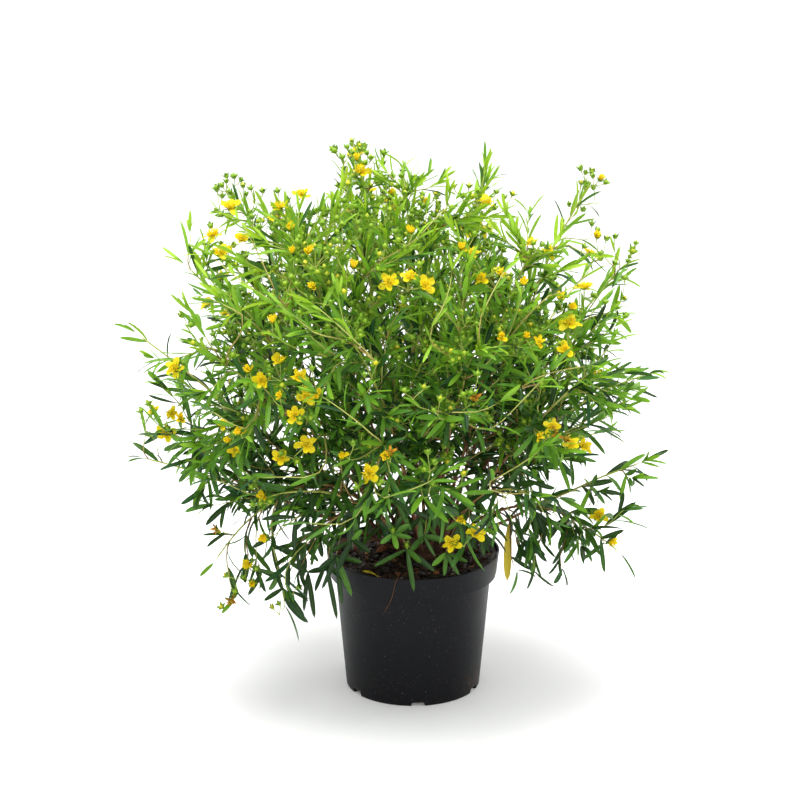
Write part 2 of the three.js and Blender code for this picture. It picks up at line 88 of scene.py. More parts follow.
def add_object(name: str, data: bpy.types.ID) -> bpy.types.Object:
    """Returns a new object of the scene that shows data: a mesh, a lamp or a camera.

    Args:
        name: its name.
        data: what it shows.

    Returns:
        The object.
    """
    made = bpy.data.objects.new(name, data)
    bpy.context.scene.collection.objects.link(made)
    return made


# Where the photograph was taken from


@dataclass(frozen=True)
class Viewpoint:
    """The photograph's camera, worked out from the ellipses of the pot's rim and foot."""

    place: Place = (-14.4, -2605.0, 1104.6)
    pitch: float = 16.63
    focal: float = 2514.0
    picture: int = 800
    sensor: float = 36.0

    @cached_property
    def eye(self) -> np.ndarray:
        """The camera's place in metres."""
        return np.array(self.place) * MM

    @cached_property
    def ahead(self) -> np.ndarray:
        """The way the camera looks."""
        return np.array([0.0, math.cos(math.radians(self.pitch)), -math.sin(math.radians(self.pitch))])

    @cached_property
    def above(self) -> np.ndarray:
        """The way that is up in the picture."""
        return np.array([0.0, math.sin(math.radians(self.pitch)), math.cos(math.radians(self.pitch))])

    def seen(self, point: np.ndarray) -> Pair:
        """Returns the picture place, in pixels, of a point in metres.

        Args:
            point: the point.

        Returns:
            Its pixels across and down.
        """
        offset = point - self.eye
        depth = offset @ self.ahead
        half = self.picture / 2
        return half + self.focal * offset[0] / depth, half - self.focal * (offset @ self.above) / depth

    def ray(self, seen: Pair) -> np.ndarray:
        """Returns the direction from the eye through a place in the picture.

        Args:
            seen: the place, in pixels.

        Returns:
            The direction, at length one.
        """
        half = self.picture / 2
        right = np.array([1.0, 0.0, 0.0])
        x, y = (seen[0] - half) / self.focal, (seen[1] - half) / self.focal
        return unit(self.ahead + right * x - self.above * y)

    def make_camera(self) -> None:
        """Makes the scene's camera at this viewpoint."""
        data = bpy.data.cameras.new("photo_camera")
        data.sensor_width = self.sensor
        data.lens = self.focal * self.sensor / self.picture
        data.clip_start = 0.1
        data.clip_end = 50.0
        camera = add_object("photo_camera", data)
        camera.location = self.eye
        camera.rotation_euler = (math.radians(90.0 - self.pitch), 0.0, 0.0)
        bpy.context.scene.camera = camera


VIEW = Viewpoint()


@dataclass(frozen=True)
class Canopy:
    """The rounded body of the foliage: an outline as the photograph shows it, and a round depth.

    The outline is in pixels of the 800 x 800 photograph.
    """

    centre: Place = (-24.0, 0.0, 375.0)
    half_size: Place = (290.0, 255.0, 232.0)
    half_depth: float = 232.0
    middle_seen: Pair = (400.0, 375.0)
    outline_seen: tuple[Pair, ...] = (
        (170, 375), (186, 318), (208, 266), (218, 222), (248, 194), (296, 195), (331, 185), (344, 164),
        (361, 152), (400, 158), (439, 156), (471, 180), (507, 190), (536, 213), (562, 239), (584, 269),
        (595, 304), (628, 335), (638, 375), (636, 417), (601, 448), (585, 482), (573, 520), (530, 530),
        (490, 531), (462, 544), (431, 549), (400, 552), (367, 564), (330, 569), (297, 553), (264, 537),
        (219, 527), (192, 495), (188, 452), (175, 415),
    )

    @cached_property
    def outline(self) -> tuple[np.ndarray, np.ndarray]:
        """The outline as rising angles about its middle and the reach at each."""
        points = np.array(self.outline_seen) - np.array(self.middle_seen)
        angles = np.arctan2(points[:, 1], points[:, 0])
        order = np.argsort(angles)
        return angles[order], np.linalg.norm(points, axis=1)[order]

    def share(self, point: np.ndarray) -> float:
        """Returns 0 at the middle of the canopy, 1 on its surface and more outside it.

        Args:
            point: a point in metres.

        Returns:
            The share.
        """
        x, y = VIEW.seen(point)
        x, y = x - self.middle_seen[0], y - self.middle_seen[1]
        angles, reaches = self.outline
        flat = math.hypot(x, y) / np.interp(math.atan2(y, x), angles, reaches, period=FULL_TURN)
        deep = (point - np.array(self.centre) * MM) @ VIEW.ahead / (self.half_depth * MM)
        return math.hypot(flat, deep)

    def surface(self, seen: Pair, share: float = 0.92) -> np.ndarray:
        """Returns the point of the canopy's front that shows at a place in the picture.

        Args:
            seen: the place in the picture, in pixels.
            share: how far out the point lies, 1 for the surface itself.

        Returns:
            The point in metres. For a place outside the canopy it is where the line of sight comes closest.
        """
        size = np.array(self.half_size) * MM * share
        start = (VIEW.eye - np.array(self.centre) * MM) / size
        way = VIEW.ray(seen) / size
        a, b, c = way @ way, 2 * start @ way, start @ start - 1
        inside = b * b - 4 * a * c
        reach = (-b - math.sqrt(max(inside, 0.0))) / (2 * a)
        return VIEW.eye + VIEW.ray(seen) * reach

    def at_depth(self, seen: Pair, depth: float) -> np.ndarray:
        """Returns the point that shows at a place in the picture, at a depth: its y in millimetres."""
        ray = VIEW.ray(seen)
        return VIEW.eye + ray * (depth * MM - VIEW.eye[1]) / ray[1]

    def outward(self, point: np.ndarray) -> np.ndarray:
        """Returns the way out of the canopy at a point."""
        return unit((point - np.array(self.centre) * MM) / np.array(self.half_size) ** 2)


CANOPY = Canopy()


# Shader graphs


class Signal:
    """An output of a shader graph. Arithmetic on it adds the nodes that work it out."""

    def __init__(self, graph: "Graph", socket: bpy.types.NodeSocket) -> None:
        """Wraps one output socket of a graph."""
        self.graph = graph
        self.socket = socket

    @property
    def is_colour(self) -> bool:
        """Whether the socket holds a colour or a vector."""
        return self.socket.type in {"RGBA", "VECTOR"}

    def combine(self, operation: str, first: object, second: object) -> "Signal":
        """Adds a Math node, or a Vector Math node where either side is a colour or a vector.

        Args:
            operation: the node's operation, such as ADD.
            first: the first side, a Signal, a number or a colour.
            second: the second side.

        Returns:
            The node's result.
        """
        many = any(isinstance(side, tuple) or getattr(side, "is_colour", False) for side in (first, second))
        kind = "ShaderNodeVectorMath" if many else "ShaderNodeMath"
        return self.graph.add(kind, {"operation": operation}, {0: first, 1: second})

    def __add__(self, other: object) -> "Signal":
        """Returns self + other."""
        return self.combine("ADD", self, other)

    def __radd__(self, other: object) -> "Signal":
        """Returns other + self."""
        return self.combine("ADD", other, self)

    def __sub__(self, other: object) -> "Signal":
        """Returns self - other."""
        return self.combine("SUBTRACT", self, other)

    def __rsub__(self, other: object) -> "Signal":
        """Returns other - self."""
        return self.combine("SUBTRACT", other, self)

    def __mul__(self, other: object) -> "Signal":
        """Returns self * other."""
        return self.combine("MULTIPLY", self, other)

    def __rmul__(self, other: object) -> "Signal":
        """Returns other * self."""
        return self.combine("MULTIPLY", other, self)

    def __abs__(self) -> "Signal":
        """Returns self without its sign."""
        return self.combine("ABSOLUTE", self, 0.0)

    def sine(self) -> "Signal":
        """Returns the sine of self, in radians."""
        return self.combine("SINE", self, 0.0)

    def between(self, low: float, high: float) -> "Signal":
        """Returns 0 where self is at low or beyond, 1 at high or beyond, and a smooth step between.

        Args:
            low: where the step starts.
            high: where it ends.

        Returns:
            The step.
        """
        settings = {"interpolation_type": "SMOOTHSTEP"}
        inputs = {"Value": self, "From Min": low, "From Max": high}
        return self.graph.add("ShaderNodeMapRange", settings, inputs)


class Graph:
    """The nodes of one material."""

    def __init__(self, name: str) -> None:
        """Makes an empty material.

        Args:
            name: the material's name.
        """
        self.material = bpy.data.materials.new(name)
        self.material.use_nodes = True
        self.nodes = self.material.node_tree.nodes
        self.links = self.material.node_tree.links
        self.nodes.clear()

    def add(
        self, kind: str, settings: dict | None = None, inputs: dict | None = None, output: int | str = 0
    ) -> Signal:
        """Adds a node.

        Args:
            kind: the node's type.
            settings: its properties, set first. The key stops holds a ramp's list of (place, colour).
            inputs: a Signal, a number or a colour for each socket, by name or by number.
            output: the output that is wanted.

        Returns:
            The wanted output.
        """
        node = self.nodes.new(kind)
        for name, value in (settings or {}).items():
            if name == "stops":
                self.set_stops(node.color_ramp, value)
            else:
                setattr(node, name, value)
        for name, value in (inputs or {}).items():
            socket = node.inputs[name]
            if isinstance(value, Signal):
                self.links.new(value.socket, socket)
            elif socket.type == "RGBA":
                socket.default_value = (*value, 1.0)
            else:
                socket.default_value = value
        return Signal(self, node.outputs[output])

    @staticmethod
    def set_stops(ramp: bpy.types.ColorRamp, stops: list[tuple[float, Place]]) -> None:
        """Gives a colour ramp its stops, each a place from 0 to 1 and a colour.

        Args:
            ramp: the ramp, with its two first stops.
            stops: the stops, in order.
        """
        first, last = ramp.elements
        last.position, last.color = stops[-1][0], (*stops[-1][1], 1.0)
        first.position, first.color = stops[0][0], (*stops[0][1], 1.0)
        for place, colour in stops[1:-1]:
            ramp.elements.new(place).color = (*colour, 1.0)

    def mark(self, name: str) -> Signal:
        """Returns a number that the mesh holds at each point, such as age."""
        return self.add("ShaderNodeAttribute", {"attribute_name": name}, output="Fac")

    def place(self) -> Signal:
        """Returns the place on the object, in metres."""
        return self.add("ShaderNodeTexCoord", output="Object")

    def noise(self, size: float, detail: float = 2.0, where: Signal | None = None) -> Signal:
        """Returns soft noise from 0 to 1 with patches about size across, in metres."""
        inputs = {"Vector": where or self.place(), "Scale": 1.0 / size, "Detail": detail}
        return self.add("ShaderNodeTexNoise", inputs=inputs)

    def mix(self, share: object, first: object, second: object) -> Signal:
        """Returns the colour that lies share of the way from first to second."""
        inputs = {0: share, 6: first, 7: second}
        return self.add("ShaderNodeMix", {"data_type": "RGBA"}, inputs, output=2)

    def ramp(self, value: Signal, stops: list[tuple[float, Place]]) -> Signal:
        """Returns the colour at value along a ramp of stops."""
        return self.add("ShaderNodeValToRGB", {"stops": stops}, {"Fac": value})

    def bump(self, height: Signal, strength: float, distance: float) -> Signal:
        """Returns the normal of a surface that height, from 0 to 1, raises by distance."""
        inputs = {"Height": height, "Strength": strength, "Distance": distance}
        return self.add("ShaderNodeBump", inputs=inputs)

    def principled(self, **inputs: object) -> Signal:
        """Returns a Principled shader. Underscores in the names stand for spaces."""
        named = {name.replace("_", " "): value for name, value in inputs.items()}
        return self.add("ShaderNodeBsdfPrincipled", inputs=named)

    def finish(self, shader: Signal) -> bpy.types.Material:
        """Makes shader the material's surface and returns the material.

        Args:
            shader: the shader.

        Returns:
            The material.
        """
        output = self.nodes.new("ShaderNodeOutputMaterial")
        self.links.new(shader.socket, output.inputs["Surface"])
        return self.material


class Finish:
    """A surface finish. Its material is made once, the first time it is asked for."""

    name: str

    @cached_property
    def material(self) -> bpy.types.Material:
        """The Blender material of this finish."""
        graph = Graph(self.name)
        return graph.finish(self.shade(graph))

    def shade(self, graph: Graph) -> Signal:
        """Returns the shader of this finish."""
        raise NotImplementedError


@dataclass(frozen=True)
class LeafFinish(Finish):
    """A leaf: dark where it is old and where shade is painted on it, yellow-green where it is young and where
    light is painted on it, with a pale midrib.
    """

    name: str
    through: Place
    through_share: float = 0.34
    deep: Place = (0.0065, 0.034, 0.0055)
    middle: Place = (0.11, 0.3, 0.024)
    bright: Place = (0.34, 0.61, 0.034)
    yellow: Place = (0.44, 0.62, 0.03)
    glaucous: Place = (0.018, 0.12, 0.045)
    rib: Place = (0.3, 0.48, 0.12)

    def shade(self, graph: Graph) -> Signal:
        """Returns the leaf's shader.

        Args:
            graph: the material's nodes.

        Returns:
            The shader.
        """
        age, tone, along, side = (graph.mark(name) for name in ("age", "tone", "along", "side"))
        mottle = graph.noise(6 * MM, 3.0)
        young = age + (mottle - 0.5) * 0.18 + (along - 0.5) * 0.08
        # The ramp follows the age mark, so its dark end is painted shade on low, inner leaves and its bright
        # end partly painted light on high, outer ones.
        stops = [(0.06, self.deep), (0.4, self.middle), (0.75, self.bright), (1.0, self.yellow)]
        colour = graph.ramp(young, stops)
        colour = graph.mix((tone * 3 - 2).between(0.0, 1.0) * (1.1 - age) * 0.55, colour, self.glaucous)
        off_rib = abs(side - 0.5) * 2
        rib = 1 - off_rib.between(0.02, 0.16)
        veins = ((along * 46 - off_rib * 9).sine() * 0.5 + 0.5) * (1 - rib)
        colour = graph.mix(rib * (0.14 + age * 0.34), colour, self.rib)
        colour = graph.mix(veins * 0.14, colour, self.deep)
        normal = graph.bump(veins * 0.3 + (1 - rib) * 0.7, 0.35, 0.3 * MM)
        rough = 0.36 + mottle * 0.16 + rib * 0.08
        face = graph.principled(Base_Color=colour, Roughness=rough, Normal=normal, Specular_IOR_Level=0.26)
        through = graph.add("ShaderNodeBsdfTranslucent", inputs={"Color": self.through})
        return graph.add("ShaderNodeMixShader", inputs={0: self.through_share, 1: face, 2: through})


@dataclass(frozen=True)
class PetalFinish(Finish):
    """A petal: saturated yellow with fine veins, deeper at the claw and orange when it ages."""

    name: str = "petal"
    claw: Place = (0.92, 0.6, 0.005)
    blade: Place = (0.99, 0.82, 0.012)
    old: Place = (0.86, 0.5, 0.006)
    through: Place = (0.95, 0.8, 0.02)

    def shade(self, graph: Graph) -> Signal:
        """Returns the petal's shader.

        Args:
            graph: the material's nodes.

        Returns:
            The shader.
        """
        age, tone, along, side = (graph.mark(name) for name in ("age", "tone", "along", "side"))
        colour = graph.mix(along.between(0.0, 0.36), self.claw, self.blade)
        mottle = graph.noise(2.5 * MM, 3.0)
        colour = graph.mix(age * 0.9 + (mottle - 0.5) * age, colour, self.old)
        veins = (side * 70 + (mottle - 0.5) * 5).sine() * 0.5 + 0.5
        colour = graph.mix(veins * (0.06 + tone * 0.08), colour, self.claw)
        normal = graph.bump(veins * 0.6 + mottle * 0.4, 0.3, 0.25 * MM)
        rough = 0.42 + mottle * 0.16
        face = graph.principled(Base_Color=colour, Roughness=rough, Normal=normal, Specular_IOR_Level=0.35)
        through = graph.add("ShaderNodeBsdfTranslucent", inputs={"Color": self.through})
        return graph.add("ShaderNodeMixShader", inputs={0: 0.4, 1: face, 2: through})


@dataclass(frozen=True)
class RampFinish(Finish):
    """A finish whose colour runs along a ramp by age or along, with mottling and a fine bump."""

    name: str
    stops: tuple[tuple[float, Place], ...]
    by: str = "age"
    rough: float = 0.6
    mottle_size: float = 3.0
    mottle_share: float = 0.25
    bump_height: float = 0.2
    shine: float = 0.4

    def shade(self, graph: Graph) -> Signal:
        """Returns the shader.

        Args:
            graph: the material's nodes.

        Returns:
            The shader.
        """
        mottle = graph.noise(self.mottle_size * MM, 4.0)
        tone = graph.mark("tone")
        where = graph.mark(self.by) + (mottle - 0.5) * self.mottle_share + (tone - 0.5) * self.mottle_share
        colour = graph.ramp(where, list(self.stops))
        normal = graph.bump(mottle, 0.5, self.bump_height * MM)
        rough = self.rough + (mottle - 0.5) * 0.2
        shine = self.shine
        return graph.principled(Base_Color=colour, Roughness=rough, Normal=normal, Specular_IOR_Level=shine)


@dataclass(frozen=True)
class BarkFinish(Finish):
    """Stem skin: fissured brown at the root, red-brown along the stem and yellow-green at the young end."""

    name: str = "bark"

    def shade(self, graph: Graph) -> Signal:
        """Returns the stem's shader.

        Args:
            graph: the material's nodes.

        Returns:
            The shader.
        """
        age, tone, along = (graph.mark(name) for name in ("age", "tone", "along"))
        mottle = graph.noise(4 * MM, 4.0)
        fibre = graph.noise(0.9 * MM, 3.0)
        stops = [
            (0.0, (0.045, 0.022, 0.012)), (0.3, (0.17, 0.06, 0.022)), (0.5, (0.3, 0.17, 0.045)),
            (0.68, (0.42, 0.43, 0.09)), (1.0, (0.4, 0.52, 0.08)),
        ]
        colour = graph.ramp(age + (mottle - 0.5) * 0.28 + (tone - 0.5) * 0.14, stops)
        old = 1 - age.between(0.15, 0.6)
        rings = (along * 160).sine() * 0.5 + 0.5
        colour = graph.mix(fibre.between(0.45, 0.7) * old * 0.6, colour, (0.03, 0.014, 0.008))
        normal = graph.bump(fibre * 0.8 + rings * 0.2, 0.5, 0.3 * MM)
        rough = 0.55 + old * 0.3
        return graph.principled(Base_Color=colour, Roughness=rough, Normal=normal)


@dataclass(frozen=True)
class PotPlasticFinish(Finish):
    """Black moulded polypropylene: satin, with fine grain, scuffs, splashes and dust round the foot."""

    name: str = "pot_plastic"
    black: Place = (0.002, 0.0024, 0.004)
    worn: Place = (0.009, 0.0095, 0.012)
    earth: Place = (0.17, 0.1, 0.06)
    speck: Place = (0.2, 0.2, 0.19)
    splash_at: Place = (72.0, -38.0, 14.0)

    @staticmethod
    def stretched(place: Signal, wide: float, high: float) -> Signal:
        """Returns a place for noise whose patches are wide across and high, in millimetres."""
        return place * (1 / (wide * MM), 1 / (wide * MM), 1 / (high * MM))

    def shade(self, graph: Graph) -> Signal:
        """Returns the pot's shader.

        Args:
            graph: the material's nodes.

        Returns:
            The shader.
        """
        place = graph.place()
        grain = graph.noise(0.7 * MM, 2.0)
        patches = graph.noise(38 * MM, 4.0)
        streaks = graph.noise(1.0, 5.0, self.stretched(place, 22.0, 1.3))
        scuffs = graph.noise(1.0, 3.0, self.stretched(place, 2.0, 14.0)).between(0.66, 0.74)
        height = graph.add("ShaderNodeSeparateXYZ", inputs={0: place}, output="Z")
        foot = 1 - height.between(0.0, 45 * MM)
        colour = graph.mix(streaks.between(0.5, 0.8) * 0.3 + patches * 0.15, self.black, self.worn)
        colour = graph.mix(scuffs * patches.between(0.45, 0.6) * 0.55, colour, self.worn)
        dust = graph.noise(5 * MM, 5.0).between(0.5, 0.72) * foot
        colour = graph.mix(dust * 0.06, colour, self.earth)
        middle = tuple(value * MM for value in self.splash_at)
        away = graph.add("ShaderNodeVectorMath", {"operation": "DISTANCE"}, {0: place, 1: middle}, "Value")
        splash = graph.noise(4.5 * MM, 6.0).between(0.48, 0.66) * (1 - away.between(6 * MM, 26 * MM))
        colour = graph.mix(splash * 0.5, colour, self.earth)
        specks = graph.noise(1.5 * MM, 1.0).between(0.745, 0.765)
        colour = graph.mix(specks * 0.5, colour, self.speck)
        rough = 0.34 + patches * 0.18 + dust * 0.12 + splash * 0.4
        normal = graph.bump(grain * 0.5 + streaks * 0.3 + splash, 0.16, 0.4 * MM)
        return graph.principled(Base_Color=colour, Roughness=rough, Normal=normal, Specular_IOR_Level=0.14)


@dataclass(frozen=True)
class CompostFinish(Finish):
    """Moist peat compost: near black with warm brown fibres and a few orange specks."""

    name: str = "compost"

    def shade(self, graph: Graph) -> Signal:
        """Returns the compost's shader.

        Args:
            graph: the material's nodes.

        Returns:
            The shader.
        """
        coarse = graph.noise(9 * MM, 5.0)
        fine = graph.noise(1.6 * MM, 5.0)
        stops = [(0.25, (0.006, 0.004, 0.003)), (0.5, (0.03, 0.014, 0.008)), (0.75, (0.085, 0.035, 0.014))]
        colour = graph.ramp(coarse * 0.5 + fine * 0.5, stops)
        orange = graph.noise(2.2 * MM, 1.0).between(0.7, 0.74)
        colour = graph.mix(orange * 0.8, colour, (0.3, 0.1, 0.02))
        normal = graph.bump(coarse * 0.4 + fine * 0.6, 1.0, 2.2 * MM)
        rough = 0.62 + (fine - 0.5) * 0.5
        return graph.principled(Base_Color=colour, Roughness=rough, Normal=normal, Specular_IOR_Level=0.45)


# Three copies of one leaf material, picked by the age mark: shaded_leaf's darker, weaker translucent colour
# is painted shade, and young_leaf's brighter one is partly painted light.
YOUNG_LEAF = LeafFinish("young_leaf", (0.44, 0.66, 0.02), through_share=0.3)
GROWN_LEAF = LeafFinish("grown_leaf", (0.25, 0.5, 0.016), through_share=0.3)
SHADED_LEAF = LeafFinish("shaded_leaf", (0.06, 0.14, 0.008), through_share=0.16)
BARK = BarkFinish()
PETAL = PetalFinish()
SEPAL = RampFinish(
    "sepal",
    (
        (0.0, (0.05, 0.15, 0.01)), (0.45, (0.16, 0.32, 0.016)), (0.8, (0.28, 0.44, 0.022)),
        (1.0, (0.72, 0.6, 0.03)),
    ),
    rough=0.5,
)
STAMEN = RampFinish(
    "stamen",
    (
        (0.0, (0.95, 0.66, 0.01)), (0.6, (1.0, 0.82, 0.014)), (0.8, (0.98, 0.76, 0.012)),
        (1.0, (0.95, 0.62, 0.01)),
    ),
    by="along",
    mottle_share=0.06,
)
WITHERED = RampFinish(
    "withered",
    (
        (0.0, (0.2, 0.06, 0.015)), (0.35, (0.42, 0.15, 0.02)), (0.7, (0.66, 0.34, 0.02)),
        (1.0, (0.56, 0.47, 0.05)),
    ),
    rough=0.8,
    mottle_size=1.5,
    mottle_share=0.5,
    shine=0.2,
)
COMPOST = CompostFinish()
CHIP = RampFinish(
    "bark_chip",
    (
        (0.0, (0.012, 0.007, 0.005)), (0.35, (0.032, 0.014, 0.008)), (0.6, (0.09, 0.034, 0.015)),
        (0.85, (0.34, 0.11, 0.03)), (1.0, (0.62, 0.3, 0.06)),
    ),
    rough=0.6,
    mottle_size=2.0,
    mottle_share=0.5,
    bump_height=0.7,
)
PERLITE = RampFinish(
    "perlite",
    ((0.0, (0.35, 0.33, 0.3)), (1.0, (0.8, 0.79, 0.76))),
    rough=0.85,
    mottle_size=1.0,
    bump_height=0.4,
)
POT_PLASTIC = PotPlasticFinish()


# Meshes made of repeated patches


@dataclass(frozen=True)
class Lattice:
    """A grid of faces, rows along it and columns across it, open or closed into a tube.

    A pointed end is one vertex in place of a row of them.
    """

    rows: int
    columns: int
    closed: bool = False
    point_first: bool = False
    point_last: bool = False

    @cached_property
    def width(self) -> int:
        """Vertices in a row."""
        return self.columns if self.closed else self.columns + 1

    @cached_property
    def places(self) -> np.ndarray:
        """Each vertex's place along and across, from 0 to 1."""
        found = []
        for row in range(self.rows + 1):
            if (row == 0 and self.point_first) or (row == self.rows and self.point_last):
                found.append((row / self.rows, 0.5))
            else:
                found += [(row / self.rows, column / self.columns) for column in range(self.width)]
        return np.array(found)

    def index(self, row: int, column: int) -> int:
        """Returns the number of the vertex at a row and column.

        Args:
            row: the row.
            column: the column.

        Returns:
            The number.
        """
        first = row * self.width - (self.width - 1 if self.point_first and row > 0 else 0)
        pointed = (row == 0 and self.point_first) or (row == self.rows and self.point_last)
        return first + (0 if pointed else column % self.width)

    @cached_property
    def faces(self) -> tuple[np.ndarray, np.ndarray, np.ndarray]:
        """Vertex of each face corner, corners of each face, and the 0 to 1 map place of each corner."""
        corners, sizes, marks = [], [], []
        for row in range(self.rows):
            for column in range(self.columns):
                ring = [(row, column), (row, column + 1), (row + 1, column + 1), (row + 1, column)]
                used = []
                for r, c in ring:
                    vertex = self.index(r, c)
                    if vertex not in used:
                        used.append(vertex)
                        marks.append((r / self.rows, c / self.columns))
                corners += used
                sizes.append(len(used))
        return np.array(corners), np.array(sizes), np.array(marks)


@dataclass(frozen=True)
class BladeShape:
    """The outline of a leaf, petal or sepal: half widths, as shares of the greatest, at stations along it."""

    stations: tuple[float, ...]
    widths: tuple[float, ...]
    columns: int = 4

    @cached_property
    def lattice(self) -> Lattice:
        """The grid of faces of a blade, which ends in a point."""
        return Lattice(len(self.stations) - 1, self.columns, point_last=True)

    def points(self, table: np.ndarray) -> np.ndarray:
        """Works out the vertices of many blades.

        Args:
            table: one row a blade: root, direction, normal, length, width, bend, fold, twist and ripple.

        Returns:
            Vertices by blade, in metres.
        """
        root, along, normal = table[:, 0:3], table[:, 3:6], table[:, 6:9]
        length, width, bend, fold, twist, ripple = (table[:, column, None] for column in range(9, 15))
        row = np.rint(self.lattice.places[:, 0] * self.lattice.rows).astype(int)
        station = np.array(self.stations)[row][None, :]
        half = np.array(self.widths)[row][None, :] * width / 2
        side = (self.lattice.places[:, 1] * 2 - 1)[None, :]
        bend = np.where(np.abs(bend) < 1e-3, 1e-3, bend)
        angle = bend * station
        ahead, down = length * np.sin(angle) / bend, length * (1 - np.cos(angle)) / bend
        wide = np.cross(along, normal)
        mid = root[:, None] + ahead[..., None] * along[:, None] - down[..., None] * normal[:, None]
        face = np.sin(angle)[..., None] * along[:, None] + np.cos(angle)[..., None] * normal[:, None]
        turn = twist * station
        over = np.cos(turn)[..., None] * wide[:, None] + np.sin(turn)[..., None] * face
        rise = np.cos(turn)[..., None] * face - np.sin(turn)[..., None] * wide[:, None]
        waves = ripple * np.sin(station * 17 + side * 2)
        lift = np.abs(side) * half * (np.tan(fold) + waves)
        return mid + over * (side * half)[..., None] + rise * lift[..., None]


LEAF = BladeShape((0, 0.1, 0.28, 0.5, 0.72, 0.89, 1), (0.2, 0.56, 0.88, 1, 0.93, 0.64, 0))
INNER_LEAF = BladeShape((0, 0.14, 0.42, 0.72, 1), (0.24, 0.7, 1, 0.82, 0), columns=2)
SMALL_LEAF = BladeShape((0, 0.2, 0.5, 0.8, 1), (0.3, 0.85, 1, 0.62, 0), columns=2)
PETAL_BLADE = BladeShape((0, 0.16, 0.36, 0.58, 0.78, 0.92, 1), (0.46, 0.7, 0.9, 1, 0.93, 0.6, 0))
SEPAL_BLADE = BladeShape((0, 0.35, 0.72, 1), (0.55, 1, 0.62, 0), columns=2)


